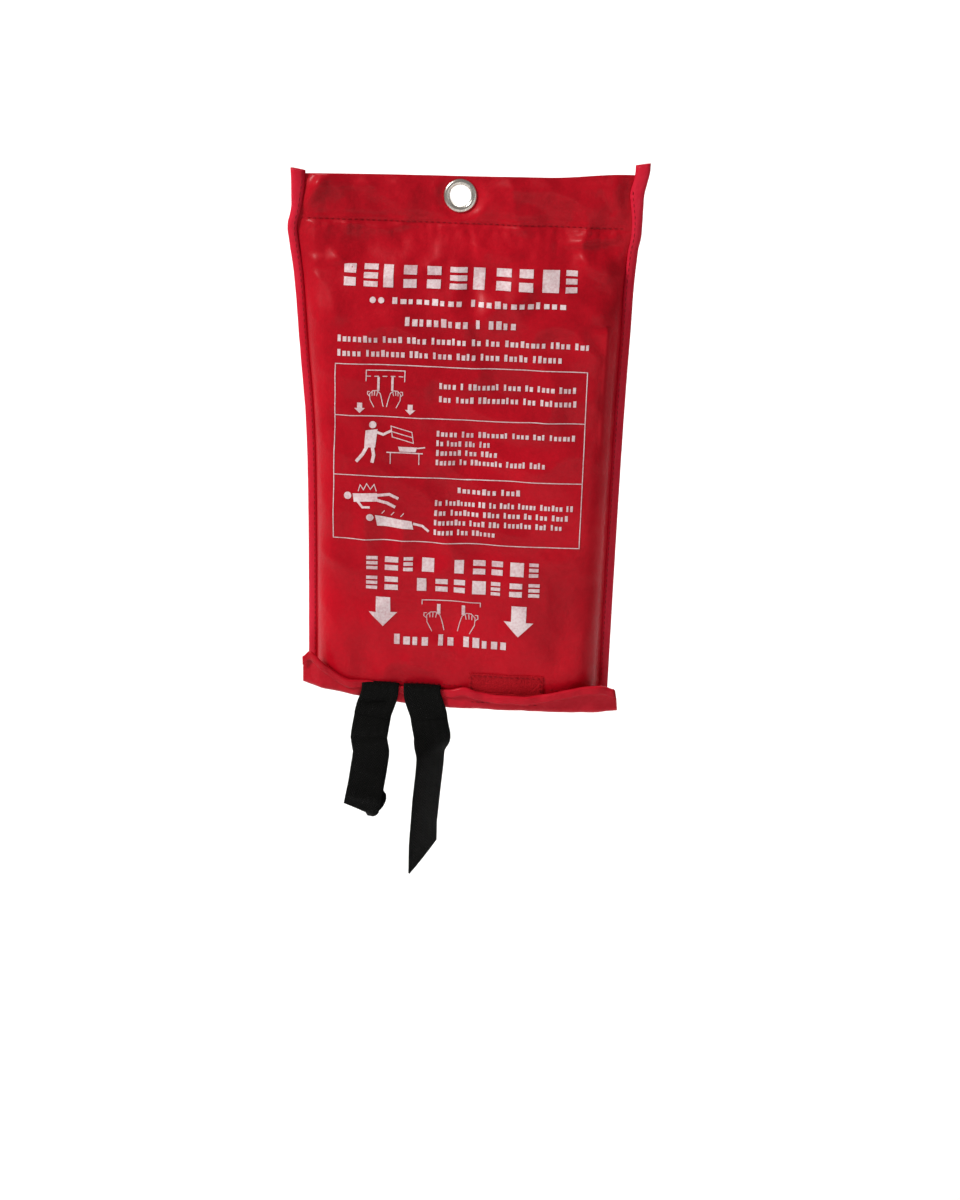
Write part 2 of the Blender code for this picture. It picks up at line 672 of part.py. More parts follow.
def build_loop_strip():
    ends = LOOP_STRIP_X
    bottom = POUCH_BOTTOM_Z + 0.0005
    heights = steps(LOOP_STRIP_TOP_Z, bottom, 3)
    grid = [[(x, -LOOP_Y, z) for x in steps(ends[0], ends[1], 3)] for z in heights]
    cloth_sheet("loop_strip", grid, STRIP, None, "hook_and_loop")
    inset = 0.0015
    y = -LOOP_Y - STRIP / 2 - SEAM_GAP - THREAD_RADIUS
    low, high = LIP_TOP_Z + 0.0010, LOOP_STRIP_TOP_Z - inset
    left, right = ends[0] + inset, ends[1] - inset
    route = [(left, y, low), (left, y, high), (right, y, high), (right, y, low)]
    thread("loop_strip_stitching", stitched(route, (0, -THREAD_RADIUS / 2, 0)), None)


def build_all():
    build_panels()
    build_binding(-1, "left_binding", LEFT_EAR)
    build_binding(1, "right_binding", RIGHT_EAR)
    build_header_seam()
    build_hem_seam()
    build_loop_strip()
    build_eyelet()
    lip_pivot = make_pivot("lip_hinge_axis", (0, PANEL_Y, LIP_HINGE_Z))
    build_lip(lip_pivot)
    pack_pivot = make_pivot("pack_slide_axis", (POUCH_CENTRE_X, -PACK_BOTTOM_DEPTH / 2, PACK_BOTTOM_Z))
    build_blanket(pack_pivot)
    build_tape_root("left", LEFT_TAPE_X, pack_pivot)
    build_tape_root("right", RIGHT_TAPE_X, pack_pivot)
    left_swing = make_pivot("left_tape_swing_axis", (LEFT_TAPE_X, -HANG_Y, SWING_Z))
    right_swing = make_pivot("right_tape_swing_axis", (RIGHT_TAPE_X, -HANG_Y, SWING_Z))
    build_upper_tape("left", LEFT_TAPE_X, LEFT_BEND_X, left_swing)
    build_upper_tape("right", RIGHT_TAPE_X, RIGHT_BEND_X, right_swing)
    left_bend = make_pivot("left_tape_bend_axis", (LEFT_BEND_X, -HANG_Y, BEND_Z))
    right_bend = make_pivot("right_tape_bend_axis", (RIGHT_BEND_X, -HANG_Y, BEND_Z))
    build_left_end(LEFT_BEND_X, left_bend)
    build_right_end(RIGHT_BEND_X, right_bend)


build_all()
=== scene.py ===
"""Looks of a quick-release fire blanket in its soft hanging pouch.

Metres, +Z up, the printed front faces -Y, origin at the centre of the hanging eyelet.
"""

import math

import bmesh
import bpy
import numpy as np
from mathutils import Matrix, Vector, noise
from mathutils.bvhtree import BVHTree


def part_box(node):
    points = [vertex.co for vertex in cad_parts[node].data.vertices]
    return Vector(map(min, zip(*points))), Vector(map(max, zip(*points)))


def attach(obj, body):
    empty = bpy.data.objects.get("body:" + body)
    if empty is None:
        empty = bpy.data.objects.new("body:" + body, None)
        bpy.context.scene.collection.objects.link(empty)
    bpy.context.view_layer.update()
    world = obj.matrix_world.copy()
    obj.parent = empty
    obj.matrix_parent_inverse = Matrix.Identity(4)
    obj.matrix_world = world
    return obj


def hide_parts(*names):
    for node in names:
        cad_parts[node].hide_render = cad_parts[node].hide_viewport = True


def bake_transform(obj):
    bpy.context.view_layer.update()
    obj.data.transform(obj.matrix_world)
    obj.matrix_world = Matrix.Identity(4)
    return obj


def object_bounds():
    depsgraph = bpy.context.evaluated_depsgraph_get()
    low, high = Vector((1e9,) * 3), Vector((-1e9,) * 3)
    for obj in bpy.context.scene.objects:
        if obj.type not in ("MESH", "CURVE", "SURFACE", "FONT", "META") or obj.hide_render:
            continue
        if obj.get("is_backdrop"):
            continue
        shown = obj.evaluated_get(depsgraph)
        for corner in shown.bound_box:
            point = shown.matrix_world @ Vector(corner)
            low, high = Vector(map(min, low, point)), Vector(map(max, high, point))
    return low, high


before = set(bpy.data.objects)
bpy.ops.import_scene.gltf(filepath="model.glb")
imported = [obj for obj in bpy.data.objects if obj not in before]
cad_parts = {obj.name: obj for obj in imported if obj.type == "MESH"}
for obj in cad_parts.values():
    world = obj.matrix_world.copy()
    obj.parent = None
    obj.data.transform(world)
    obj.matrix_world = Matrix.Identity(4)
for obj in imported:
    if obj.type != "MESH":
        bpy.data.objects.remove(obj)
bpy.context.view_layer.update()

# ---- camera, floor and lights -----------------------------------------------------------
# The pouch is seen from a little to its right and above, in front of a plain pale sweep,
# under one large soft light from the upper left and weaker ones round it.
def in_scene(name, data):
    """An object of its data, linked into the scene."""
    obj = bpy.data.objects.new(name, data)
    bpy.context.scene.collection.objects.link(obj)
    return obj


AIM = Vector((0.0, -0.008, -0.135))
DISTANCE = 0.85
AZIMUTH, ELEVATION, ROLL = (math.radians(a) for a in (4.0, 15.5, 1.59))
sideways = Vector((math.cos(AZIMUTH), math.sin(AZIMUTH), 0.0))
forward = Vector((
    -math.sin(AZIMUTH) * math.cos(ELEVATION),
    math.cos(AZIMUTH) * math.cos(ELEVATION),
    -math.sin(ELEVATION),
))
upward = sideways.cross(forward)
rolled_right = math.cos(ROLL) * sideways + math.sin(ROLL) * upward
rolled_up = math.cos(ROLL) * upward - math.sin(ROLL) * sideways
camera = in_scene("camera", bpy.data.cameras.new("camera"))
camera.matrix_world = Matrix.Translation(AIM - forward * DISTANCE) @ Matrix(
    (rolled_right, rolled_up, -forward)
).transposed().to_4x4()
camera.data.sensor_width = 36.0
camera.data.lens = 48.5
camera.data.shift_x = 0.023
camera.data.shift_y = -0.1205
bpy.context.scene.camera = camera
bpy.context.scene.view_settings.view_transform = "Standard"

world = bpy.data.worlds.new("studio")
world.use_nodes = True
world.node_tree.nodes["Background"].inputs["Color"].default_value = (1.0, 0.99, 0.98, 1.0)
world.node_tree.nodes["Background"].inputs["Strength"].default_value = 0.24
bpy.context.scene.world = world


def soft_light(name, place, size, watts, colour=(1.0, 1.0, 1.0), aim=AIM, spread=180):
    data = bpy.data.lights.new(name, "AREA")
    data.shape = "RECTANGLE"
    data.size, data.size_y = size
    data.energy = watts
    data.color = colour
    data.spread = math.radians(spread)
    light = in_scene(name, data)
    light.location = place
    light.rotation_euler = (Vector(aim) - Vector(place)).to_track_quat("-Z", "Y").to_euler()


soft_light("key", (-1.05, -0.62, 0.72), (0.30, 0.45), 19.0, (1.0, 0.98, 0.95))
soft_light("fill", (0.9, -1.2, 0.0), (0.5, 0.9), 1.2)
soft_light("low_front", (0.15, -1.3, -0.5), (0.8, 0.4), 1.2, (1.0, 0.95, 0.93))
soft_light("behind", (0.3, 0.75, 0.8), (0.8, 0.5), 3.0)
soft_light("sweep_low", (0.0, 0.95, 1.3), (2.6, 0.8), 13.5, aim=(0.0, 1.0, -0.76), spread=110)
soft_light("sweep_high", (0.0, 0.60, 0.6), (2.2, 0.6), 6.0, aim=(0.0, 1.6, 0.4), spread=120)

FLOOR_Z = -0.76
BACKDROP_Y = 1.6


def build_floor():
    """One sheet: flat underfoot, curving up into a wall behind."""
    half, reach, bend = 6.0, -4.0, 0.8
    section = [(reach, FLOOR_Z), (BACKDROP_Y - bend, FLOOR_Z)]
    for step in range(1, 13):
        turn = math.pi / 2 * step / 12
        section.append((
            BACKDROP_Y - bend + bend * math.sin(turn),
            FLOOR_Z + bend - bend * math.cos(turn),
        ))
    section.append((BACKDROP_Y, 5.0))
    points = [(x, y, z) for y, z in section for x in (-half, half)]
    faces = [(2 * n, 2 * n + 1, 2 * n + 3, 2 * n + 2) for n in range(len(section) - 1)]
    mesh = bpy.data.meshes.new("floor")
    mesh.from_pydata(points, [], faces)
    mesh.shade_smooth()
    paint = bpy.data.materials.new("floor_paint")
    paint.use_nodes = True
    shader = paint.node_tree.nodes["Principled BSDF"]
    shader.inputs["Base Color"].default_value = (0.94, 0.94, 0.94, 1.0)
    shader.inputs["Roughness"].default_value = 0.9
    mesh.materials.append(paint)
    floor = in_scene("floor", mesh)
    floor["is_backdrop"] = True


build_floor()


# ---- front panel ------------------------------------------------------------------------
# The front of the pouch is one sheet of red nylon coated on its inside. It is sewn flat under
# the side bindings and along the header seam, and stands out over the folded blanket.
CENTRE_X = sum(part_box("folded_blanket")[i].x for i in (0, 1)) / 2
HEADER_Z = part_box("header_stitching")[0].z + 0.0002
MOUTH_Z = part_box("front_panel")[0].z
CLOTH = 0.0006
PANEL_Y = 0.00045
BINDING_WIDTH = 0.0048
CLAMP_RADIUS = 0.0085
HOLE_RADIUS = 0.0060


def ease(t):
    t = np.clip(t, 0.0, 1.0)
    return t * t * (3 - 2 * t)


OUTLINE_TOP_Z = 0.009


def side_edge(node, side):
    """Outermost x of a binding against height, read from its CAD solid."""
    points = np.array([v.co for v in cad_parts[node].data.vertices])
    heights = np.unique(np.round(points[:, 2], 4))
    heights = heights[heights < OUTLINE_TOP_Z]
    outer = [side * (side * points[np.abs(points[:, 2] - h) < 2e-4, 0]).max() for h in heights]
    return heights, np.array(outer)


EDGES = {-1: side_edge("left_binding", -1), 1: side_edge("right_binding", 1)}


def edge_x(side, z):
    heights, outer = EDGES[side]
    z = np.asarray(z, float)
    if side < 0:
        waver = 0.0029 * ease((z + 0.0220) / 0.0150) - 0.0015 * np.exp(-(((z + 0.078) / 0.034) ** 2))
    else:
        waver = 0.0010 * ease((z + 0.025) / 0.009) - 0.0006 * ease((z + 0.070) / 0.030)
    return np.interp(z, heights, outer) + waver


def top_edge_z(x):
    """The top edge sags between its corners and climbs to the right one."""
    return 0.0098 + 0.014 * x + 0.0024 * ease((x - 0.045) / 0.040)


def hang(points):
    """What the whole soft pouch does as it hangs: the header's corners curl forward."""
    points = np.array(points, float)
    out = (points[..., 0] - 0.002) / 0.090
    header = ease((points[..., 2] + 0.034) / 0.036)
    curl = np.where(out < 0, 0.0030, 0.0042) * np.abs(out) ** 5
    sway = 0.0007 * np.sin(points[..., 0] * 55.0 + 0.6)
    points[..., 1] -= header * (curl + sway)
    return points


def rumple(x, z, pitch, seed, detail=2):
    """Smooth noise from -1 to 1 over the panel, with a feature size in metres."""
    shape = np.shape(x)
    flat = zip(np.ravel(x) / pitch, np.ravel(z) / pitch)
    found = [noise.fractal((a, b, seed), 1.0, 2.0, detail) for a, b in flat]
    return np.array(found).reshape(shape)


def crease(x, z, start, end, width, height):
    """A soft ridge along a line, dying away at both ends. A negative height is a valley."""
    start, end = np.array(start), np.array(end)
    run = end - start
    length = np.linalg.norm(run)
    along = ((x - start[0]) * run[0] + (z - start[1]) * run[1]) / length
    off = ((x - start[0]) * run[1] - (z - start[1]) * run[0]) / length
    taper = ease(along / (0.35 * length)) * ease((length - along) / (0.35 * length))
    return height * np.exp(-((off / width) ** 2)) * taper


PACK_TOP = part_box("folded_blanket")[1].z
FULL_DEPTH = -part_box("front_panel")[0].y - CLOTH / 2 - PANEL_Y
HEAD_DEPTH = 0.0146
PACK_REACH = 0.0745


def bulge(z):
    """How far the cloth stands forward over the middle, from the header seam to the mouth."""
    climb = np.clip((HEADER_Z - z) / (HEADER_Z - PACK_TOP - 0.002), 0, 1)
    rise = 0.40 * climb + 0.60 * ease(climb)
    fill = ease((PACK_TOP + 0.004 - z) / 0.15)
    belly = 0.0034 * np.sin(np.pi * np.clip((z - MOUTH_Z) / 0.190, 0, 1) ** 0.62)
    return HEAD_DEPTH * rise + (FULL_DEPTH - HEAD_DEPTH) * fill + belly


def across(offset, seam, z):
    """Share of the bulge at a distance out from the middle: full over the pack, none in the seam."""
    start = 0.046 + 0.005 * ease((HEADER_Z - z) / 0.06)
    power = 2.2 + 2.0 * ease((HEADER_Z - z) / 0.060)
    share = np.clip((offset - start) / (seam - start), 0, 1)
    return np.sqrt(np.clip(1 - share ** power, 0, 1))


FRONT_CREASES = (
    # (start), (end), width, height: the header
    ((-0.084, -0.012), (-0.066, 0.012), 0.0032, 0.0022),
    ((-0.066, 0.010), (-0.052, -0.012), 0.0050, 0.0007),
    ((-0.045, 0.008), (-0.040, -0.010), 0.0040, -0.0006),
    ((0.010, 0.002), (0.030, -0.010), 0.0030, 0.0007),
    ((0.012, 0.006), (0.060, 0.000), 0.0040, 0.0005),
    ((0.048, 0.006), (0.076, -0.009), 0.0040, 0.0009),
    ((0.070, 0.009), (0.080, -0.010), 0.0030, -0.0008),
    # under the header seam
    ((-0.082, -0.036), (-0.052, -0.032), 0.0035, 0.0009),
    ((-0.032, -0.046), (-0.020, -0.016), 0.0050, 0.0009),
    ((0.004, -0.012), (0.014, -0.090), 0.0045, -0.0009),
    ((0.022, -0.016), (0.036, -0.060), 0.0060, 0.0008),
    ((0.050, -0.022), (0.086, -0.018), 0.0028, 0.0013),
    ((0.058, -0.028), (0.082, -0.034), 0.0040, 0.0010),
    ((0.062, -0.020), (0.066, -0.052), 0.0050, 0.0006),
    # over the pack
    ((-0.060, -0.110), (-0.064, -0.200), 0.0060, 0.0006),
    ((0.030, -0.165), (0.052, -0.262), 0.0130, 0.0013),
    ((0.012, -0.190), (-0.004, -0.262), 0.0100, -0.0007),
    ((-0.020, -0.238), (-0.014, -0.266), 0.0050, 0.0008),
    ((-0.048, -0.232), (-0.036, -0.266), 0.0070, -0.0009),
    ((0.064, -0.215), (0.058, -0.262), 0.0080, -0.0010),
)


def clear_of_eyelet(x, z):
    """None under the eyelet's flange, where the cloth is clamped flat, and full a little way out."""
    return ease((np.hypot(x, z) - CLAMP_RADIUS) / 0.006)


def front_y(x, z):
    """The front panel's middle surface: bulge over the pack, puckers, creases and a slow rumple."""
    side = np.where(x < CENTRE_X, -1, 1)
    edge = np.where(side < 0, edge_x(-1, z), edge_x(1, z))
    seam = np.abs(edge - CENTRE_X) - BINDING_WIDTH - 0.0006
    below = np.clip(HEADER_Z - z, 0, None)
    pocket = z < HEADER_Z
    share = across(np.abs(x - CENTRE_X), seam, z)
    free = ease((seam + 0.002 - np.abs(x - CENTRE_X)) / 0.012) * ease((z - MOUTH_Z + 0.012) / 0.030)
    header_half = 0.5 * (top_edge_z(x) - HEADER_Z)
    header_middle = 0.5 * (top_edge_z(x) + HEADER_Z)
    puffed = free * 0.0016 * ease((header_half - np.abs(z - header_middle)) / 0.006)
    depth = np.where(pocket, bulge(z) * share, puffed)
    slack = np.where(pocket, 0.50 + 0.90 * np.exp(-below / 0.035), 1.0)
    slow = 0.0021 * rumple(x, z, 0.034, 3.0)
    quick = 0.0006 * rumple(x + 0.4 * z, z, 0.011, 5.0)
    depth = depth + free * slack * (slow + quick)
    fold = 0.35 - np.abs(rumple(x + 0.5 * z, z - 0.3 * x, 0.030, 12.0, 1))
    depth = depth + free * slack * 0.0070 * fold
    above = z - HEADER_Z
    seam_ridge = free * 0.0009 * ease((0.0040 - above) / 0.0040) * ease(above / 0.0012)
    depth = depth + np.where(pocket, 0.0, seam_ridge)
    pucker = np.abs(rumple(x, z * 0.30, 0.0055, 9.0)) * np.exp(-below / 0.0085)
    depth = depth + np.where(pocket, free * 0.0019 * pucker * ease(below / 0.0016), 0.0)
    by_binding = ease((np.abs(x - CENTRE_X) - seam + 0.020) / 0.014)
    gather = np.abs(rumple(x * 0.5, z, 0.012, 15.0)) * by_binding
    depth = depth + np.where(pocket, 0.0007 * gather * free * np.exp(-below / 0.10), 0.0)
    settled = ease((z - MOUTH_Z - 0.002) / 0.024)
    for line in FRONT_CREASES:
        depth = depth + 1.5 * free * settled * crease(x, z, *line)
    beside_pack = ease((PACK_REACH - np.abs(x - CENTRE_X)) / 0.0020)
    over_pack = HEAD_DEPTH * beside_pack * ease((PACK_TOP + 0.004 - z) / 0.004)
    depth = np.maximum(depth, over_pack)
    return -(PANEL_Y + np.clip(depth, 0.0, None) * clear_of_eyelet(x, z))


def grid_object(name, points, coords=None, thickness=None):
    """A mesh through a grid of points, with its flat-cloth coordinates kept as an attribute."""
    points = np.asarray(points, float)
    rows, columns = points.shape[:2]
    corner = np.arange(rows * columns).reshape(rows, columns)[:-1, :-1].ravel()
    quads = np.stack([corner, corner + 1, corner + columns + 1, corner + columns], axis=1)
    mesh = bpy.data.meshes.new(name)
    mesh.from_pydata(points.reshape(-1, 3).tolist(), [], quads.tolist())
    if coords is not None:
        layer = mesh.attributes.new("cloth", "FLOAT_VECTOR", "POINT")
        layer.data.foreach_set("vector", np.asarray(coords, np.float32).ravel())
    mesh.shade_smooth()
    obj = in_scene(name, mesh)
    if thickness:
        solid = obj.modifiers.new("thickness", "SOLIDIFY")
        solid.thickness = thickness
        solid.offset = 0.0
        solid.use_even_offset = False
        solid.use_quality_normals = True
    return obj


def flat_coords(points):
    """Distances along the rows and down the columns of a grid: where each point lay in flat cloth."""
    down = np.linalg.norm(np.diff(points, axis=0), axis=2)
    along = np.linalg.norm(np.diff(points, axis=1), axis=2)
    v = np.concatenate([np.zeros((1, points.shape[1])), np.cumsum(down, axis=0)])
    u = np.concatenate([np.zeros((points.shape[0], 1)), np.cumsum(along, axis=1)], axis=1)
    u = u - u[:, u.shape[1] // 2][:, None]
    return np.stack([u, -v, np.zeros_like(u)], axis=2)


def punch(obj, radius):
    """Takes out the faces inside the eyelet's hole."""
    shape = bmesh.new()
    shape.from_mesh(obj.data)
    inside = [
        face for face in shape.faces
        if min(math.hypot(v.co.x, v.co.z) for v in face.verts) < radius
    ]
    bmesh.ops.delete(shape, geom=inside, context="FACES")
    shape.to_mesh(obj.data)
    shape.free()


class Wire:
    """One output of a shader node. Arithmetic on wires adds Math nodes."""

    def __init__(self, tree, socket):
        self.tree = tree
        self.socket = socket

    def maths(self, operation, first, second=None):
        node = self.tree.nodes.new("ShaderNodeMath")
        node.operation = operation
        for place, value in zip(node.inputs, (first, second)):
            if isinstance(value, Wire):
                self.tree.links.new(value.socket, place)
            elif value is not None:
                place.default_value = value
        return Wire(self.tree, node.outputs[0])

    def __add__(self, other):
        return self.maths("ADD", self, other)

    __radd__ = __add__

    def __sub__(self, other):
        return self.maths("SUBTRACT", self, other)

    def __rsub__(self, other):
        return self.maths("SUBTRACT", other, self)

    def __mul__(self, other):
        return self.maths("MULTIPLY", self, other)

    __rmul__ = __mul__

    def __abs__(self):
        return self.maths("ABSOLUTE", self)

    def sine(self):
        return self.maths("SINE", self)


class Finish:
    """A procedural finish: a Principled shader and the nodes that vary it over a surface."""

    def __init__(self, name, roughness, metallic=0.0, **constants):
        self.material = bpy.data.materials.new(name)
        self.material.use_nodes = True
        self.tree = self.material.node_tree
        self.shader = self.tree.nodes["Principled BSDF"]
        self.shader.inputs["Roughness"].default_value = roughness
        self.shader.inputs["Metallic"].default_value = metallic
        for socket, value in constants.items():
            self.shader.inputs[socket.replace("_", " ")].default_value = value

    def node(self, kind, settings=None, output=0, **inputs):
        made = self.tree.nodes.new("ShaderNode" + kind)
        for key, value in (settings or {}).items():
            setattr(made, key, value)
        for key, value in inputs.items():
            numbered = key[0] == "i" and key[1:].isdigit()
            place = made.inputs[int(key[1:]) if numbered else key]
            if isinstance(value, Wire):
                self.tree.links.new(value.socket, place)
            else:
                place.default_value = value
        return Wire(self.tree, made.outputs[output])

    def feed(self, socket, wire):
        self.tree.links.new(wire.socket, self.shader.inputs[socket])

    def flat_cloth(self):
        """The flat-cloth coordinates as three wires and as one vector."""
        vector = self.node("Attribute", {"attribute_name": "cloth"}, output="Vector")
        return vector, *(self.node("SeparateXYZ", output=n, Vector=vector) for n in (0, 1, 2))

    def place(self):
        """The place in the object's own metres, for pieces that keep their shape."""
        return self.node("TexCoord", output="Object")

    def clouds(self, vector, scale, detail=3.0, roughness=0.55):
        return self.node("TexNoise", Vector=vector, Scale=scale, Detail=detail, Roughness=roughness)

    def mix(self, factor, first, second):
        return self.node(
            "Mix", {"data_type": "RGBA"}, output=2,
            i0=factor, i6=(*first, 1.0) if not isinstance(first, Wire) else first,
            i7=(*second, 1.0) if not isinstance(second, Wire) else second,
        )

    def bump(self, height, distance, strength=1.0):
        self.feed("Normal", self.node("Bump", Height=height, Distance=distance, Strength=strength))


def coated_nylon(name, colour, worn, weave_depth=0.00003):
    """Plain-woven nylon with a soft sheen: fine threads, slow crumple, and paler rubbed patches, partly
    real wear and partly painted sheen highlight, with painted light making it paler the further down the
    cloth runs.
    """
    finish = Finish(name, 0.46, Coat_Weight=0.13, Coat_Roughness=0.25, Specular_IOR_Level=0.06)
    vector, u, v, _ = finish.flat_cloth()
    turn = 2 * math.pi / 0.00062
    weave = (u * turn).sine() * (v * turn).sine()
    crumple = finish.clouds(vector, 95.0, 4.0, 0.6)
    stain_and_sheen = finish.clouds(vector, 14.0, 3.0)
    rub = finish.clouds(vector, 420.0, 2.0)
    # Painted light: the paler worn colour comes in over broad patches, partly real stains and wear and
    # partly painted sheen highlights. It grows the further the cloth runs from its first row, so the
    # cloth is painted paler below and darker above.
    wear_and_sheen_patches = stain_and_sheen * 0.75 + rub * 0.25
    painted_light_and_wear = finish.node("MapRange", Value=wear_and_sheen_patches - v * 0.55, i1=0.36, i2=0.74)
    finish.feed("Base Color", finish.mix(painted_light_and_wear, colour, worn))
    finish.feed("Roughness", 0.33 + stain_and_sheen * 0.16 + rub * 0.05)
    wrinkle = finish.clouds(vector, 38.0, 5.0, 0.62)
    relief = abs(wrinkle - 0.5) * 0.0016 + crumple * 0.00018 + weave * weave_depth + rub * 0.00004
    finish.bump(relief, 1.0, 0.8)
    return finish.material


# The second colour is the paler red painted in as sheen highlight and wear, and as light on the lower
# cloth.
RED_CLOTH = coated_nylon("red_coated_cloth", (0.362, 0.0028, 0.0105), (0.585, 0.0036, 0.0155))

header_rows = np.linspace(1.0, 0.0, 20, endpoint=False)
pocket_rows = np.concatenate([
    HEADER_Z - np.linspace(0.0, 0.030, 32, endpoint=False),
    np.linspace(HEADER_Z - 0.030, MOUTH_Z, 132),
])
columns = np.linspace(-1.0, 1.0, 132)


def panel_grid(y_of):
    """Rows from the top edge to the mouth, each from binding to binding."""
    rows = []
    inset = CLOTH + 0.0004
    for share in header_rows:
        z = HEADER_Z + share * (0.0100 - HEADER_Z)
        left, right = edge_x(-1, z) + inset, edge_x(1, z) - inset
        x = left + (right - left) * (columns + 1) / 2
        z_row = HEADER_Z + share * (top_edge_z(x) - HEADER_Z)
        rows.append(np.stack([x, y_of(x, z_row), z_row], axis=1))
    for z in pocket_rows:
        left, right = edge_x(-1, z) + inset, edge_x(1, z) - inset
        x = left + (right - left) * (columns + 1) / 2
        z_row = np.full_like(x, z)
        rows.append(np.stack([x, y_of(x, z_row), z_row], axis=1))
    return hang(np.array(rows))


front_points = panel_grid(front_y)
front = grid_object("pouch_front", front_points, flat_coords(front_points), CLOTH)
punch(front, HOLE_RADIUS)
front.data.materials.append(RED_CLOTH)
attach(front, "pouch")
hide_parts("front_panel")

front_tree = BVHTree.FromPolygons(
    [v.co for v in front.data.vertices],
    [tuple(p.vertices) for p in front.data.polygons],
)


def on_front(x, z, lift):
    """A point on the front panel's outer face, lifted off it, and the direction it faces."""
    found, normal, _, _ = front_tree.ray_cast(Vector((x, -0.1, z)), Vector((0, 1, 0)))
    if normal.y > 0:
        normal = -normal
    return found + normal * (CLOTH / 2 + lift), normal


# ---- back panel -------------------------------------------------------------------------
# The same red cloth, lying flat against the wall. It is sewn to the front along the header
# seam and under both bindings.
def back_y(x, z):
    free = ease((np.minimum(x - edge_x(-1, z), edge_x(1, z) - x) - 0.008) / 0.02)
    wave = 0.00035 * rumple(x, z, 0.045, 21.0) + 0.00022 * rumple(x, z, 0.012, 27.0)
    free = free * clear_of_eyelet(x, z) * ease((z - MOUTH_Z) / 0.020)
    return PANEL_Y + free * (wave - 0.0004 * (z < HEADER_Z))


back_points = panel_grid(back_y)[::2, ::2]
back = grid_object("pouch_back", back_points, flat_coords(back_points), CLOTH)
punch(back, HOLE_RADIUS)
back.data.materials.append(RED_CLOTH)
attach(back, "pouch")
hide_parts("back_panel")


# ---- side bindings ----------------------------------------------------------------------
# A brighter woven tape folded over each side edge and sewn through. Its cut ends stand up as
# small ears at the top corners.
# The second colour is the binding's paler tone, painted in as sheen highlight and wear, and as light
# lower down.
BINDING_TAPE = coated_nylon("binding_tape", (0.560, 0.0045, 0.0200), (0.700, 0.0180, 0.0480), 0.00006)
EARS = {-1: 0.0020, 1: 0.0052}
EAR_FLARE = 0.0022


def binding_at(side, z):
    """Outer edge, flare towards the ear, forward wave and half-thickness of a binding."""
    outer = abs(float(edge_x(side, min(z, OUTLINE_TOP_Z))) - CENTRE_X)
    flare = float(ease((z + 0.012) / 0.020))
    slow = 0.0005 * noise.noise((z / 0.011, side * 4.0, 2.0))
    quick = 0.0003 * noise.noise((z / 0.004, side, 7.0))
    gape = 0.00135 + 0.0004 * flare + 0.0002 * noise.noise((z / 0.018, 5.0, side))
    return outer, flare, slow + quick, gape


def build_binding(side, name):
    top = float(top_edge_z(edge_x(side, 0.01))) + EARS[side]
    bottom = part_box(name)[0].z
    fine_above = -0.045
    heights = np.concatenate([
        np.linspace(top, fine_above, 44, endpoint=False), np.linspace(fine_above, bottom, 84),
    ])
    rows = []
    for z in heights:
        outer, flare, wave, gape = binding_at(side, z)
        lean = float(ease((z - 0.002) / 0.014)) * (0.0006 if side < 0 else 0.0024)
        width = BINDING_WIDTH + EAR_FLARE * flare
        section = [(width, -gape - 0.0001)]
        section += [(width * 0.66, -gape - 0.0003), (width * 0.33, -gape - 0.0002)]
        for turn in np.linspace(90, -90, 7):
            angle = math.radians(turn)
            section.append((gape - gape * math.cos(angle), -gape * math.sin(angle)))
        section += [(width * 0.4, gape), (width * 0.7, gape), (width, gape)]
        row = []
        for inward, y in section:
            distance = outer - inward + lean
            slant = 0.0010 * float(ease((z - 0.004) / 0.008)) * (BINDING_WIDTH - inward) / BINDING_WIDTH
            row.append((CENTRE_X + side * distance, y + wave, z + slant))
        rows.append(row)
    points = np.array(rows)
    if side > 0:
        points = points[:, ::-1]
    points = hang(points)
    obj = grid_object("edge_" + name, points, flat_coords(points), CLOTH)
    obj.data.materials.append(BINDING_TAPE)
    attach(obj, "pouch")
    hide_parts(name)


build_binding(-1, "left_binding")
build_binding(1, "right_binding")


# ---- stitching --------------------------------------------------------------------------
# Lockstitch in red thread, about three stitches to the centimetre: the header seam, the rows
# through both bindings, and the hem above the mouth.
def thread_finish(name, colour, worn):
    finish = Finish(name, 0.62, Specular_IOR_Level=0.15)
    place = finish.place()
    bands = {"wave_type": "BANDS", "bands_direction": "DIAGONAL"}
    ply = finish.node("TexWave", bands, Vector=place, Scale=1500.0)
    fluff = finish.clouds(place, 900.0)
    finish.feed("Base Color", finish.mix(ply * 0.5 + fluff * 0.5, colour, worn))
    finish.feed("Roughness", 0.5 + fluff * 0.3)
    finish.bump(ply * 0.00005 + fluff * 0.00002, 1.0)
    return finish.material


# Painted shade: the red thread is coloured darker than the cloth, so that each seam shows as the thin
# dark shadow line along it.
RED_THREAD_SEAM_SHADE = thread_finish("red_thread", (0.22, 0.0015, 0.006), (0.40, 0.006, 0.016))
STITCH_PITCH = 0.0030


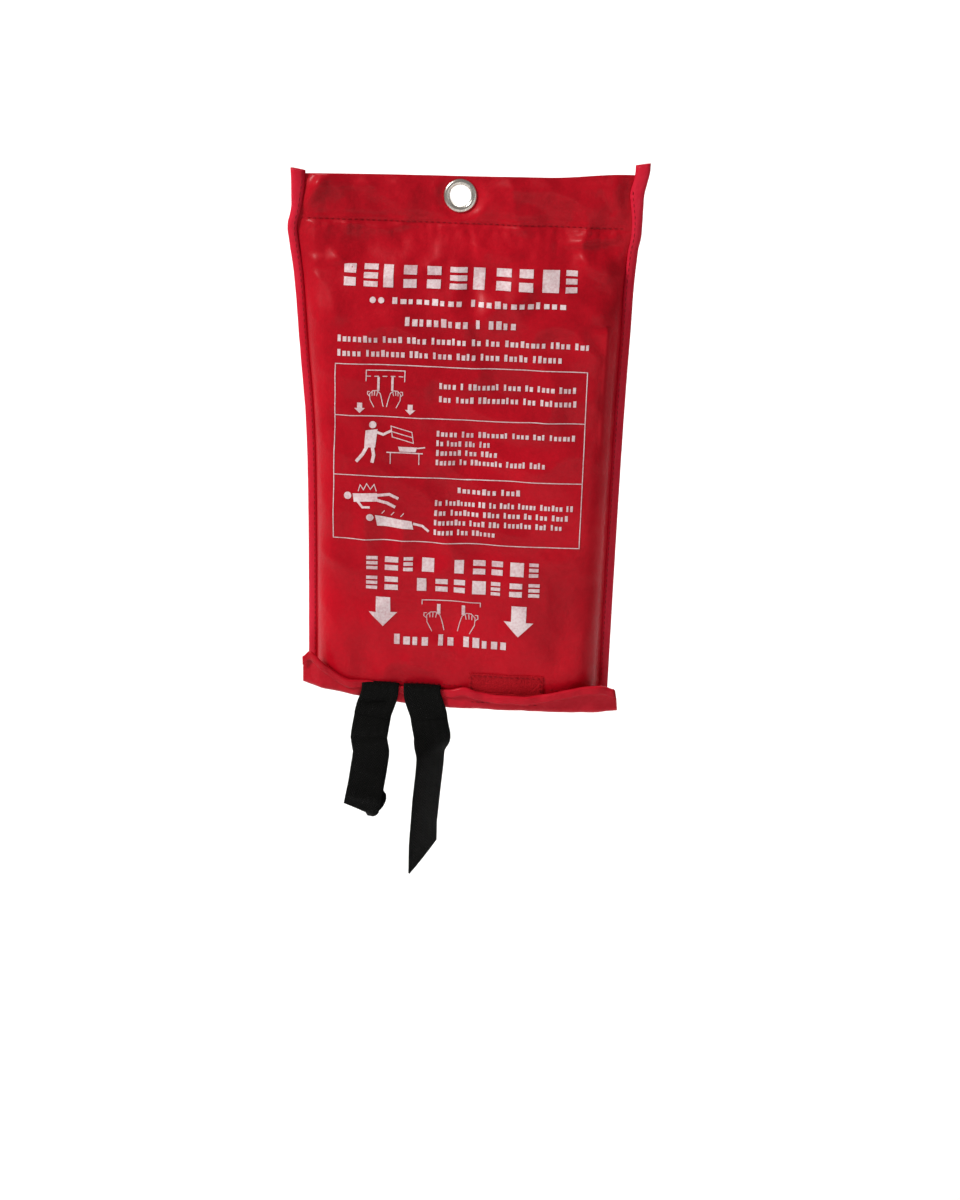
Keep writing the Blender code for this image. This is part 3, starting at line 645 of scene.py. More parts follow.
def stitch_row(name, spots, body, stands_for, material, thread=0.00022, fill=0.78):
    """One row of stitches: a bean between each pair of needle holes, sunk in at both ends."""
    shape = bmesh.new()
    rings, sides = 7, 6
    for (start, normal), (end, _) in zip(spots, spots[1:]):
        run = end - start
        middle = start + run / 2
        half = run / 2 * fill
        across_way = run.cross(normal).normalized()
        loops = []
        for ring in range(rings):
            share = -1 + 2 * ring / (rings - 1)
            swell = math.sqrt(max(0.06, 1 - abs(share) ** 2.6))
            centre = middle + half * share + normal * (thread * (0.9 * (1 - share * share) - 0.55))
            loop = []
            for step in range(sides):
                angle = 2 * math.pi * step / sides
                spot = across_way * math.cos(angle) + normal * math.sin(angle)
                loop.append(shape.verts.new(centre + spot * thread * swell))
            loops.append(loop)
        for before, after in zip(loops, loops[1:]):
            for step in range(sides):
                following = (step + 1) % sides
                shape.faces.new((before[step], before[following], after[following], after[step]))
        shape.faces.new(loops[0][::-1])
        shape.faces.new(loops[-1])
    bmesh.ops.recalc_face_normals(shape, faces=shape.faces)
    mesh = bpy.data.meshes.new(name)
    shape.to_mesh(mesh)
    shape.free()
    mesh.shade_smooth()
    mesh.materials.append(material)
    obj = in_scene(name, mesh)
    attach(obj, body)
    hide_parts(*stands_for)
    return obj


def spots_on_front(start, end, pitch=STITCH_PITCH, lift=0.0):
    """Needle holes along a line on the front panel."""
    start, end = np.array(start), np.array(end)
    count = max(2, round(np.linalg.norm(end - start) / pitch))
    route = [start + (end - start) * n / count for n in range(count + 1)]
    return [on_front(float(x), float(z), lift) for x, z in route]


seam_ends = [
    (CENTRE_X + side * (abs(float(edge_x(side, HEADER_Z)) - CENTRE_X) - 0.0085), HEADER_Z + 0.0006)
    for side in (-1, 1)
]
stitch_row("header_seam", spots_on_front(*seam_ends), "pouch", ["header_stitching"], RED_THREAD_SEAM_SHADE)


def binding_spots(side):
    """Needle holes down the inner edge of a binding's front."""
    spots = []
    for z in np.arange(0.0060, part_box("left_binding")[0].z + 0.003, -STITCH_PITCH):
        outer, flare, wave, gape = binding_at(side, z)
        inward = BINDING_WIDTH + EAR_FLARE * flare - 0.0014
        point = hang(np.array([CENTRE_X + side * (outer - inward), wave - gape - 0.0002 - CLOTH / 2, z]))
        spots.append((Vector(point), Vector((0, -1, 0))))
    return spots


stitch_row("left_binding_seam", binding_spots(-1), "pouch", ["left_binding_stitching"], RED_THREAD_SEAM_SHADE)
stitch_row("right_binding_seam", binding_spots(1), "pouch", ["right_binding_stitching"], RED_THREAD_SEAM_SHADE)
for node, piece in (
    ("front_hem_stitching_left", "front_hem_left"),
    ("front_hem_stitching_right", "front_hem_right"),
):
    low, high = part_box(node)
    stitch_row(
        piece, spots_on_front((low.x, low.z + 0.0002), (high.x, low.z + 0.0002)),
        "pouch", [node], RED_THREAD_SEAM_SHADE,
    )


# ---- eyelet -----------------------------------------------------------------------------
# A rolled two-part eyelet of nickel-plated brass: a barrel with a domed flange in front,
# spread over a flat washer at the back.
def plated_metal():
    finish = Finish("nickel_plate", 0.24, 1.0)
    place = finish.place()
    haze = finish.clouds(place, 260.0, 4.0, 0.65)
    fine = finish.clouds(place, 2600.0, 2.0)
    tint = finish.node("MapRange", Value=haze, i1=0.35, i2=0.70)
    finish.feed("Base Color", finish.mix(tint, (0.74, 0.71, 0.66), (0.52, 0.47, 0.40)))
    finish.feed("Roughness", 0.16 + haze * 0.24)
    finish.bump(haze * 0.00010 + fine * 0.00002, 1.0, 0.6)
    return finish.material


NICKEL = plated_metal()


def turned_ring(name, profile, stands_for):
    """A closed profile of radius and depth, smoothed and turned about the eyelet's axis."""
    turns = 96
    points, faces = [], []
    count = len(profile)
    for turn in range(turns):
        angle = 2 * math.pi * turn / turns
        for radius, depth in profile:
            points.append((radius * math.cos(angle), -depth, radius * math.sin(angle)))
    for turn in range(turns):
        here, there = turn * count, (turn + 1) % turns * count
        for n in range(count):
            after = (n + 1) % count
            faces.append((here + n, here + after, there + after, there + n))
    mesh = bpy.data.meshes.new(name)
    mesh.from_pydata(points, [], faces)
    shape = bmesh.new()
    shape.from_mesh(mesh)
    bmesh.ops.recalc_face_normals(shape, faces=shape.faces)
    shape.to_mesh(mesh)
    shape.free()
    mesh.shade_smooth()
    mesh.set_sharp_from_angle(angle=math.radians(50))
    mesh.materials.append(NICKEL)
    obj = in_scene(name, mesh)
    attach(obj, "pouch")
    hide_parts(stands_for)


def dome(inner, outer, foot, height, count=14):
    """A rounded ring section from the outer rim over the crest and down into the bore."""
    middle, half = (inner + outer) / 2, (outer - inner) / 2
    return [
        (middle + half * math.cos(a), foot + height * math.sin(a) ** 0.75)
        for a in np.linspace(0.0, math.pi, count)
    ]


BORE, FLANGE = 0.0054, 0.0086
FACE = PANEL_Y + CLOTH / 2 + 0.0002
barrel = dome(BORE, FLANGE, FACE, 0.0015)
barrel += [(BORE, 0.0), (BORE, -0.0026), (BORE + 0.0004, -0.0030), (BORE + 0.0010, -0.0030)]
barrel += [(BORE + 0.0017, -0.0026), (BORE + 0.0016, -0.0021), (BORE + 0.0006, -0.0019)]
barrel += [(BORE + 0.0005, FACE), (FLANGE - 0.0002, FACE)]
turned_ring("eyelet_ring", barrel, "eyelet_barrel")
washer = [(FLANGE - 0.0003, -0.0011), (FLANGE, -0.0013), (FLANGE, -0.0017), (FLANGE - 0.0004, -0.0019)]
washer += [(BORE + 0.0012, -0.0017), (BORE + 0.0010, -0.0011)]
turned_ring("eyelet_back_washer", washer, "eyelet_washer")

# ---- printed instructions ---------------------------------------------------------------
# Screen-printed straight on the cloth in one pale ink. Rows of plain blocks stand for wording,
# with three ruled pictures of the blanket in use and two arrows towards the tapes.
MM = 0.001
INK_LIFT = 0.00024
print_shapes = []


def block(left, right, low, high):
    print_shapes.append([(left, low), (right, low), (right, high), (left, high)])


def wording(left, right, low, high, words, bars=1):
    """A line of words, one plain block for a letter. Tall blocks can be cut into stacked bars."""
    pitch = (right - left) / (sum(words) + 0.75 * (len(words) - 1) - 0.34)
    x = left
    for word, letters in enumerate(words):
        for letter in range(letters):
            wide = pitch * (0.60, 0.72, 0.50, 0.66)[(letter + 2 * word) % 4]
            tall = bars > 1 or letter == 0 or (letter * 3 + word) % 5 == 0
            top = high if tall else low + 0.76 * (high - low)
            cuts = bars if bars == 1 else (2, 1, 3, 2, 3, 1, 2)[(letter + 3 * word + bars) % 7]
            bar = (top - low) / (1.5 * cuts - 0.5)
            for n in range(cuts):
                foot = low + 1.5 * bar * n
                block(x, x + wide, foot, foot + bar)
            x += pitch
        x += 0.75 * pitch


def stroke(route, width=0.45, closed=False):
    """A drawn line of even width, mitred at its corners."""
    route = [Vector(p) for p in route]
    edges = []
    for n, point in enumerate(route):
        ways = []
        if n or closed:
            ways.append((point - route[n - 1]).normalized())
        if n < len(route) - 1 or closed:
            ways.append((route[(n + 1) % len(route)] - point).normalized())
        mean = sum(ways, Vector((0, 0))).normalized()
        out = Vector((-mean.y, mean.x)) * (width / 2 / max(0.5, mean.dot(ways[0])))
        edges.append((point + out, point - out))
    following = edges[1:] + edges[:1] if closed else edges[1:]
    for (a, b), (c, d) in zip(edges, following):
        print_shapes.append([a, b, d, c])


def disc(x, z, radius):
    turns = [2 * math.pi * n / 16 for n in range(16)]
    print_shapes.append([(x + radius * math.cos(a), z + radius * math.sin(a)) for a in turns])


def arrow_down(x, top, tip, width, shaft):
    neck = tip + (top - tip) * 0.48
    left, right = x - shaft / 2, x + shaft / 2
    print_shapes.append([(left, top), (left, neck), (right, neck), (right, top)])
    print_shapes.append([(x - width / 2, neck), (x, tip), (x + width / 2, neck)])


def mitt(x, z, mirror, size):
    """A gloved hand closed round a tape, drawn in outline."""
    palm = [
        (-1.5, -1.7), (-1.2, -0.3), (-0.9, 0.7), (-0.3, 1.2),
        (0.4, 1.15), (0.95, 0.6), (0.9, -0.5), (0.2, -1.9),
    ]
    thumb = [(0.9, 0.1), (1.35, 0.5), (1.3, 1.0), (0.9, 1.0)]
    fingers = [[(-0.45, 1.0), (-0.3, 0.25)], [(0.05, 1.1), (0.1, 0.3)], [(0.5, 0.95), (0.5, 0.25)]]
    for route in (palm, thumb, *fingers):
        stroke([(x + mirror * size * a, z + size * b) for a, b in route], 0.42)


# heading, standard, size and two lines of advice
wording(-57.8, -20.5, -46.3, -35.4, [4], bars=3)
wording(-15.2, 63.1, -46.3, -35.4, [7], bars=3)
disc(-42.6, -53.0, 1.6)
disc(-38.2, -53.0, 1.6)
wording(-32.5, 55.8, -54.6, -51.3, [9, 12])
wording(-25.7, 31.0, -65.4, -61.0, [9, 1, 4])
wording(-60.0, 68.8, -74.4, -71.0, [8, 4, 4, 7, 2, 3, 8, 4, 3])
wording(-60.0, 55.0, -81.9, -78.4, [5, 8, 4, 4, 4, 4, 5, 6])
# the ruled frame and its wording
frame_left, frame_right = -61.0, 68.5
row_heights = (-86.0, -113.0, -144.5, -179.2)
stroke([
    (frame_left, row_heights[0]), (frame_right, row_heights[0]),
    (frame_right, row_heights[-1]), (frame_left, row_heights[-1]),
], closed=True)
for height in row_heights[1:-1]:
    stroke([(frame_left, height), (frame_right, height)])
wording(-7.0, 63.0, -97.2, -94.0, [4, 1, 7, 4, 2, 4, 4])
wording(-7.0, 63.5, -104.2, -101.0, [3, 4, 9, 3, 8])
for row, (end, words) in enumerate((
    (63.6, [5, 3, 7, 4, 3, 6]), (19.9, [2, 4, 3, 3]), (23.8, [6, 3, 4]), (48.8, [5, 2, 8, 5, 4]),
)):
    wording(-7.7, end, -122.2 - 5.0 * row, -119.2 - 5.0 * row, words)
wording(4.0, 36.4, -152.3, -149.2, [8, 4])
for row, (end, words) in enumerate((
    (64.3, [2, 8, 2, 2, 4, 5, 6, 2]), (61.9, [3, 7, 4, 4, 2, 3, 4]),
    (59.0, [8, 4, 3, 7, 3, 3]), (24.2, [5, 3, 6]),
)):
    wording(-7.7, end, -159.2 - 5.2 * row, -156.2 - 5.2 * row, words)
# first picture: two hands on the tapes under the pack
stroke([(-45.0, -94.6), (-45.0, -89.0), (-25.0, -89.0), (-25.0, -94.6)])
for dash in range(5):
    stroke([(-45.0 + 4.2 * dash, -92.0), (-42.6 + 4.2 * dash, -92.0)])
for side in (-1, 1):
    block(-35.0 + side * 3.6 - 0.6, -35.0 + side * 3.6 + 0.6, -99.4, -92.4)
    mitt(-35.0 + side * 5.2, -102.8, side, 2.9)
    arrow_down(-35.0 + side * 13.2, -106.2, -111.6, 5.4, 2.6)
# second picture: a figure lowers the sheet over a burning pan on a table
disc(-41.2, -117.6, 1.9)
print_shapes.append([(-44.8, -120.6), (-38.6, -119.9), (-39.6, -129.4), (-45.2, -129.4)])
stroke([(-39.6, -121.2), (-35.6, -122.6), (-31.4, -120.4)], 1.3)
stroke([(-43.8, -129.0), (-46.0, -133.2), (-49.4, -137.2)], 1.7)
stroke([(-41.0, -129.0), (-40.2, -133.4), (-41.0, -137.4)], 1.7)
stroke([(-31.6, -118.0), (-20.6, -120.6), (-19.6, -126.2), (-30.8, -123.6)], closed=True)
stroke([(-31.2, -120.8), (-20.1, -123.4)])
print_shapes.append([(-27.6, -128.4), (-17.6, -128.4), (-18.4, -131.0), (-26.8, -131.0)])
stroke([(-17.6, -128.9), (-13.4, -128.2)], 0.7)
stroke([(-33.6, -131.6), (-14.6, -131.6)], 0.6)
stroke([(-31.6, -131.6), (-31.6, -137.8)])
stroke([(-16.6, -131.6), (-16.6, -137.8)])
# third picture: a figure with burning clothes, and the same figure rolled in the sheet
disc(-53.6, -155.8, 2.0)
print_shapes.append([(-51.0, -154.6), (-38.0, -153.6), (-37.6, -158.0), (-50.2, -159.0)])
stroke([(-38.4, -154.8), (-31.6, -154.0), (-26.8, -156.2)], 1.5)
stroke([(-38.4, -157.2), (-32.6, -158.6), (-28.4, -160.8)], 1.5)
stroke([(-49.0, -157.6), (-45.6, -161.6), (-41.6, -161.4)], 1.2)
stroke([
    (-48.0, -153.2), (-47.0, -149.6), (-45.2, -152.2), (-43.6, -148.8),
    (-41.6, -151.8), (-39.6, -149.0), (-38.4, -152.6),
])
disc(-41.6, -166.8, 1.9)
print_shapes.append([(-39.0, -165.4), (-19.6, -168.2), (-18.6, -172.6), (-37.8, -171.4)])
stroke([(-18.8, -169.4), (-13.8, -170.4), (-10.4, -173.2)], 1.3)
for fold in range(3):
    stroke([(-35.4 + 5.0 * fold, -164.4 - 0.7 * fold), (-33.8 + 5.0 * fold, -162.6 - 0.7 * fold)])
# the release instruction, its arrows and hands, and the last line
wording(-43.0, 49.5, -195.4, -188.0, [4, 5], bars=2)
wording(-43.0, 49.5, -206.4, -199.0, [2, 7], bars=2)
arrow_down(-33.8, -210.6, -227.3, 15.0, 7.6)
arrow_down(38.6, -211.7, -229.0, 15.6, 7.8)
stroke([(-13.0, -213.8), (-13.0, -211.4), (18.0, -211.4), (18.0, -213.8)])
for side in (-1, 1):
    block(2.5 + side * 6.6 - 0.9, 2.5 + side * 6.6 + 0.9, -219.0, -213.4)
    mitt(2.5 + side * 9.4, -222.4, side, 3.8)
wording(-27.6, 32.7, -237.2, -231.4, [4, 2, 5])


def screen_print():
    """Lays the flat shapes on the front panel, cut finely enough to follow its curve."""
    shape = bmesh.new()
    for outline in print_shapes:
        corners = [shape.verts.new((x * MM, 0.0, (z + 0.004 * x) * MM)) for x, z in outline]
        shape.faces.new(corners)
    for axis, low, high in (((1, 0, 0), -0.062, 0.070), ((0, 0, 1), -0.238, -0.034)):
        for place in np.arange(low, high, 0.0013):
            bmesh.ops.bisect_plane(
                shape, geom=shape.verts[:] + shape.edges[:] + shape.faces[:],
                plane_co=Vector(axis) * float(place), plane_no=axis,
            )
    for vert in shape.verts:
        vert.co, _ = on_front(vert.co.x, vert.co.z, INK_LIFT)
    bmesh.ops.recalc_face_normals(shape, faces=shape.faces)
    mesh = bpy.data.meshes.new("printed_instructions")
    shape.to_mesh(mesh)
    shape.free()
    obj = in_scene("printed_instructions", mesh)
    ink = Finish("print_ink", 0.55)
    place = ink.place()
    worn = ink.clouds(place, 700.0, 3.0, 0.6)
    patch = ink.clouds(place, 60.0, 2.0)
    thin = ink.node("MapRange", Value=worn * 0.6 + patch * 0.4, i1=0.36, i2=0.62)
    ink.feed("Base Color", ink.mix(thin, (0.66, 0.40, 0.43), (0.86, 0.72, 0.74)))
    ink.feed("Roughness", 0.45 + worn * 0.25)
    ink.bump(worn * 0.00004, 1.0)
    mesh.materials.append(ink.material)
    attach(obj, "pouch")


screen_print()

# ---- loop strip -------------------------------------------------------------------------
# The soft half of a hook-and-loop closure, woven nylon brushed into a nap. It is sewn to the
# front panel just above the mouth, and the lip's hook strip closes on it.
def nap_finish():
    finish = Finish("hook_and_loop", 0.85, Specular_IOR_Level=0.2)
    vector, *_ = finish.flat_cloth()
    loops = finish.node("TexVoronoi", Vector=vector, Scale=1500.0)
    tufts = finish.clouds(vector, 500.0, 3.0)
    finish.feed("Base Color", finish.mix(loops, (0.50, 0.0036, 0.0125), (0.43, 0.0030, 0.0105)))
    finish.feed("Roughness", 0.7 + tufts * 0.25)
    finish.bump((1 - loops) * 0.00030 + tufts * 0.00020, 1.0)
    return finish.material


NAP = nap_finish()
strip_low, strip_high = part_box("loop_strip")
loop_rows = []
for z in np.linspace(strip_high.z, strip_low.z + 0.0006, 34):
    row = []
    for x in np.linspace(strip_low.x, strip_high.x, 96):
        tuft = 0.00022 * noise.noise((x / 0.0009, z / 0.0009, 3.0))
        point, _ = on_front(float(x), float(z), 0.00035)
        row.append((point.x, point.y - tuft, point.z))
    loop_rows.append(row)
loop_points = np.array(loop_rows)
loop_tape = grid_object("loop_tape", loop_points, flat_coords(loop_points), 0.0005)
loop_tape.data.materials.append(NAP)
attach(loop_tape, "pouch")
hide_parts("loop_strip")
seam_inset = 0.0013
BEHIND_LIP_Z = -0.2620
strip_left, strip_right = strip_low.x + seam_inset, strip_high.x - seam_inset
strip_corners = [
    (strip_left, BEHIND_LIP_Z), (strip_left, strip_high.z - seam_inset),
    (strip_right, strip_high.z - seam_inset), (strip_right, BEHIND_LIP_Z),
]
strip_spots = []
for start, end in zip(strip_corners, strip_corners[1:]):
    strip_spots += spots_on_front(start, end, 0.0028, 0.0007)[(1 if strip_spots else 0):]
stitch_row("loop_tape_seam", strip_spots, "pouch", ["loop_strip_stitching"], RED_THREAD_SEAM_SHADE)

# ---- closing lip ------------------------------------------------------------------------
# The back panel's cloth runs on below the mouth and turns up in front, with a rolled hem along
# its free edge. Its left end has curled open. It is peeled off when the tapes are pulled.
LIP_FRONT = 0.0207
LIP_START_Z = -0.2668
LIP_LOWEST_Z = -0.2738
lip_low, lip_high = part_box("closing_lip")
lip_low.x += 0.0030


def lip_edge_z(x):
    """The free edge: a bump and a dip right of the tapes, and both ends turned up."""
    bump = 0.0025 * np.exp(-(((x - 0.011) / 0.0055) ** 2))
    bump -= 0.0007 * np.exp(-(((x - 0.027) / 0.006) ** 2))
    left = 0.0032 * ease((-0.010 - x) / 0.040) + 0.0175 * ease((-0.050 - x) / 0.030)
    right = 0.0082 * ease((x - 0.040) / 0.044) - 0.0030 * ease((x - 0.084) / 0.012)
    rounded = 0.0060 * ease((-0.0725 - x) / 0.0050)
    return -0.2628 + bump + left + right - rounded


def lip_foot_z(x):
    """The fold's lowest line, higher at both ends."""
    off = (x - 0.010) / 0.050
    return LIP_LOWEST_Z + off * off * (0.0031 if x < 0.010 else 0.0008)


def lip_section(x):
    """From the back panel's bottom edge, under the mouth, up in front, and over the hem."""
    right_in = float(ease((lip_high.x - x) / 0.016))
    left_in = float(ease((x - lip_low.x) / 0.012))
    wave = 0.0005 * noise.noise((x / 0.013, 1.0, 4.0))
    front = -LIP_FRONT * (0.84 + 0.16 * right_in) * (0.86 + 0.14 * left_in) - wave
    foot, edge_z = lip_foot_z(x), float(lip_edge_z(x))
    corner = 0.0036
    section = [(PANEL_Y, LIP_START_Z)]
    for turn in np.linspace(10, 90, 6):
        angle = math.radians(turn)
        back = PANEL_Y - corner + corner * math.cos(angle)
        section.append((back, foot + corner - corner * math.sin(angle)))
    section.append(((front + PANEL_Y) / 2, foot - 0.0004))
    for turn in np.linspace(90, 0, 7):
        angle = math.radians(turn)
        ahead = front + corner - corner * math.cos(angle)
        section.append((ahead, foot + corner - corner * math.sin(angle)))
    under_tapes = float(ease((x + 0.052) / 0.008) * ease((0.007 - x) / 0.008))
    radius = 0.00085 - 0.00045 * under_tapes
    flare = 0.0016 * float(ease((-0.055 - x) / 0.020)) + 0.0026 * float(ease((x - 0.004) / 0.040))
    flare += 0.0010 * noise.noise((x / 0.017, 6.0, 2.0)) * (1 - under_tapes)
    wall_top = edge_z - radius
    for share in (0.33, 0.66, 1.0):
        height = foot + corner + (wall_top - foot - corner) * share
        section.append((front - flare * share * share, height))
    for turn in (30, 60, 90, 120, 150, 180):
        angle = math.radians(turn)
        section.append((
            front - flare - radius + radius * math.cos(angle), wall_top + radius * math.sin(angle),
        ))
    for drop in (0.0012, 0.0026, 0.0036):
        section.append((front - flare - 2 * radius + 0.10 * drop, wall_top - drop))
    return section


lip_columns = np.concatenate([
    np.linspace(lip_low.x, lip_low.x + 0.03, 30, endpoint=False),
    np.linspace(lip_low.x + 0.03, lip_high.x, 120),
])
lip_points = np.array([[(x, y, z) for y, z in lip_section(float(x))] for x in lip_columns])
share_up = np.clip((lip_points[:, :, 2] - LIP_LOWEST_Z) / 0.014, 0, 1)
lip_points[:, :, 0] -= 0.0030 * share_up * ease((lip_points[:, :, 0] - 0.080) / 0.014)
lip_points[:, :, 1] -= 0.0007 * rumple(lip_points[:, :, 0], lip_points[:, :, 2], 0.0090, 33.0)
lip_points = lip_points.transpose(1, 0, 2)
lip = grid_object("turned_up_lip", lip_points, flat_coords(lip_points), CLOTH)
# Painted light: the lip is the back panel's own red cloth, given a lighter red than the panels to paint
# in the light falling on it. Its second colour is the paler painted sheen and wear.
LIP_CLOTH_PAINTED_LIGHTER = coated_nylon("lip_cloth_painted_lighter", (0.460, 0.0035, 0.0130), (0.620, 0.0100, 0.0280))
lip.data.materials.append(LIP_CLOTH_PAINTED_LIGHTER)
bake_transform(lip)
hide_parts("closing_lip")
lip_spots = [
    (Vector((float(x), -LIP_FRONT - 0.0003, -0.2688)), Vector((0, -1, 0)))
    for x in np.arange(strip_low.x + 0.001, strip_high.x, 0.0028)
]
stitch_row("hook_tape_seam", lip_spots, "lip", ["hook_strip_stitching"], RED_THREAD_SEAM_SHADE)

# ---- hook strip -------------------------------------------------------------------------
# The stiff half of the closure, sewn inside the lip: a woven tape set with rows of nylon hooks.
hook_low, hook_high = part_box("hook_strip")
HOOK_Y, HOOK_RISE, HOOK_TURN = -0.0199, 0.00025, 5200.0
hook_points = np.array([
    [
        (x, HOOK_Y + HOOK_RISE * math.sin(x * HOOK_TURN) * math.sin(z * HOOK_TURN), z)
        for x in np.linspace(hook_low.x, hook_high.x, 110)
    ]
    for z in np.linspace(hook_high.z, hook_low.z + 0.0006, 22)
])
hook_tape = grid_object("hook_tape", hook_points, flat_coords(hook_points), 0.0004)
hook_tape.data.materials.append(NAP)
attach(hook_tape, "lip")
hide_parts("hook_strip")

# ---- folded blanket ---------------------------------------------------------------------
# One metre square of white woven glass cloth. It is folded in from the side seven layers wide,
# then fanned into five leaves, so that it falls open when the tapes draw it out.
SIDE_LAYERS, FAN_LEAVES = 7, 5
pack_low, pack_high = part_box("folded_blanket")
PACK_BACK_Y = -0.0009
pack_depth = 0.0126
leaf_pitch = pack_depth / FAN_LEAVES
layer_pitch = leaf_pitch / SIDE_LAYERS * 0.96


def fanned(layers, span, pitch, samples, bend_samples):
    """Places of a strip folded to and fro: along the span, through the stack, and its turn."""
    places = []
    for layer in range(layers):
        onward = layer % 2 == 0
        for share in np.linspace(0.0, 1.0, samples):
            along = share if onward else 1.0 - share
            places.append((along * span, layer * pitch, 0.0 if onward else math.pi))
        if layer < layers - 1:
            for n in range(1, bend_samples):
                angle = math.pi * n / bend_samples
                overshoot = pitch / 2 * math.sin(angle)
                end = span + overshoot if onward else -overshoot
                through = layer * pitch + pitch / 2 * (1 - math.cos(angle))
                places.append((end, through, angle if onward else math.pi - angle))
    return places


side_places = fanned(SIDE_LAYERS, pack_high.x - pack_low.x - 0.0012, layer_pitch, 12, 4)
fan_span = pack_high.z - pack_low.z - leaf_pitch - 0.0008
half_stack = layer_pitch * (SIDE_LAYERS - 1) / 2
blanket_rows = []
for leaf_along, leaf_through, leaf_turn in fanned(FAN_LEAVES, fan_span, leaf_pitch, 14, 8):
    row = []
    for side_along, side_through, _ in side_places:
        offset = side_through - half_stack
        facing = math.cos(leaf_turn)
        tilt = math.sin(leaf_turn)
        outward = 1 if leaf_along > fan_span / 2 else -1
        x = pack_low.x + 0.0006 + side_along
        z = pack_high.z - leaf_pitch / 2 - leaf_along + (offset * tilt * outward)
        y = PACK_BACK_Y - half_stack - leaf_through - offset * facing
        sag = 0.00035 * noise.noise((x / 0.03, z / 0.03, leaf_through * 400.0))
        row.append((x, y + sag, z))
    blanket_rows.append(row)
blanket_points = np.array(blanket_rows)
blanket = grid_object("fan_folded_blanket", blanket_points, flat_coords(blanket_points), 0.00022)


def glass_weave():
    finish = Finish("glass_cloth", 0.55, Sheen_Weight=0.2, Coat_Weight=0.05)
    vector, u, v, _ = finish.flat_cloth()
    turn = 2 * math.pi / 0.0016
    twill = ((u + v) * turn).sine() * 0.6 + (u * turn * 2).sine() * (v * turn * 2).sine() * 0.4
    cloud = finish.clouds(vector, 25.0)
    tone = twill * 0.25 + cloud * 0.6
    finish.feed("Base Color", finish.mix(tone, (0.58, 0.56, 0.50), (0.80, 0.79, 0.74)))
    finish.feed("Roughness", 0.45 + cloud * 0.25)
    finish.bump(twill * 0.00007 + cloud * 0.00010, 1.0)
    return finish.material


GLASS_CLOTH = glass_weave()
blanket.data.materials.append(GLASS_CLOTH)
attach(blanket, "blanket")
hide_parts("folded_blanket")
GLASS_THREAD = thread_finish("glass_thread", (0.50, 0.49, 0.45), (0.76, 0.75, 0.70))
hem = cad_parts["blanket_hem_stitching"]
hem.data.materials.clear()
hem.data.materials.append(GLASS_THREAD)

# ---- pull tapes -------------------------------------------------------------------------
# Two lengths of black 20 mm woven webbing, tacked to the pack's front leaf. They come out over
# the lip and hang in front of it, kinked and turned where they were folded in storage.
TAPE_HALF = 0.0100
TAPE_THICKNESS = 0.0011
HANG_Y = -0.0227
RISER_Y = -0.01915
ROOT_Y = -0.0157
TACK_Z = -0.2205
UNDER_MOUTH_Z = -0.2672
OVER_LIP_Z = -0.2622


def webbing():
    finish = Finish("black_webbing", 0.66, Specular_IOR_Level=0.08)
    vector, u, v, _ = finish.flat_cloth()
    ribs = (v * (2 * math.pi / 0.0017) + (u * (2 * math.pi / 0.0042)).sine() * 1.7).sine()
    threads = (u * (2 * math.pi / 0.00105)).sine()
    edge_band = finish.node("MapRange", Value=abs(u), i1=0.0086, i2=0.0094)
    fluff = finish.clouds(vector, 800.0, 3.0)
    dust = finish.clouds(vector, 60.0, 3.0)
    tone = ribs * threads * 0.35 + fluff * 0.45 + dust * 0.25
    finish.feed("Base Color", finish.mix(tone, (0.0006, 0.0006, 0.0005), (0.0088, 0.0090, 0.0082)))
    finish.feed("Roughness", 0.52 + fluff * 0.25)
    finish.bump(ribs * threads * (1 - edge_band * 0.7) * 0.00030 + fluff * 0.00006, 1.0)
    return finish.material


WEBBING = webbing()


def tape_piece(name, stations, laid, creases=(), slant=0.0):
    """Webbing through stations of centre and width direction. laid is the length before it."""
    columns_across = np.linspace(-1.0, 1.0, 15)
    points, coords = [], []
    run = laid
    before = None
    for index, (centre, across, half) in enumerate(stations):
        centre, across = Vector(centre), Vector(across).normalized()
        if before is not None:
            run += (centre - before).length
        before = centre
        after = Vector(stations[min(index + 1, len(stations) - 1)][0])
        earlier = Vector(stations[max(index - 1, 0)][0])
        facing = (after - earlier).normalized().cross(across).normalized()
        cut = slant * max(0.0, (index / (len(stations) - 1) - 0.55) / 0.45)
        row, flat = [], []
        for s in columns_across:
            u = s * half
            lift = 0.00035 * s * s
            for line in creases:
                lift += float(crease(np.float64(u), np.float64(-run), *line))
            row.append(centre + across * u - facing * lift + Vector((0, 0, cut * s)))
            flat.append((s * TAPE_HALF, -run + cut * s, 0.0))
        points.append([tuple(p) for p in row])
        coords.append(flat)
    obj = grid_object(name, np.array(points), np.array(coords), TAPE_THICKNESS)
    obj.data.materials.append(WEBBING)
    return obj, run


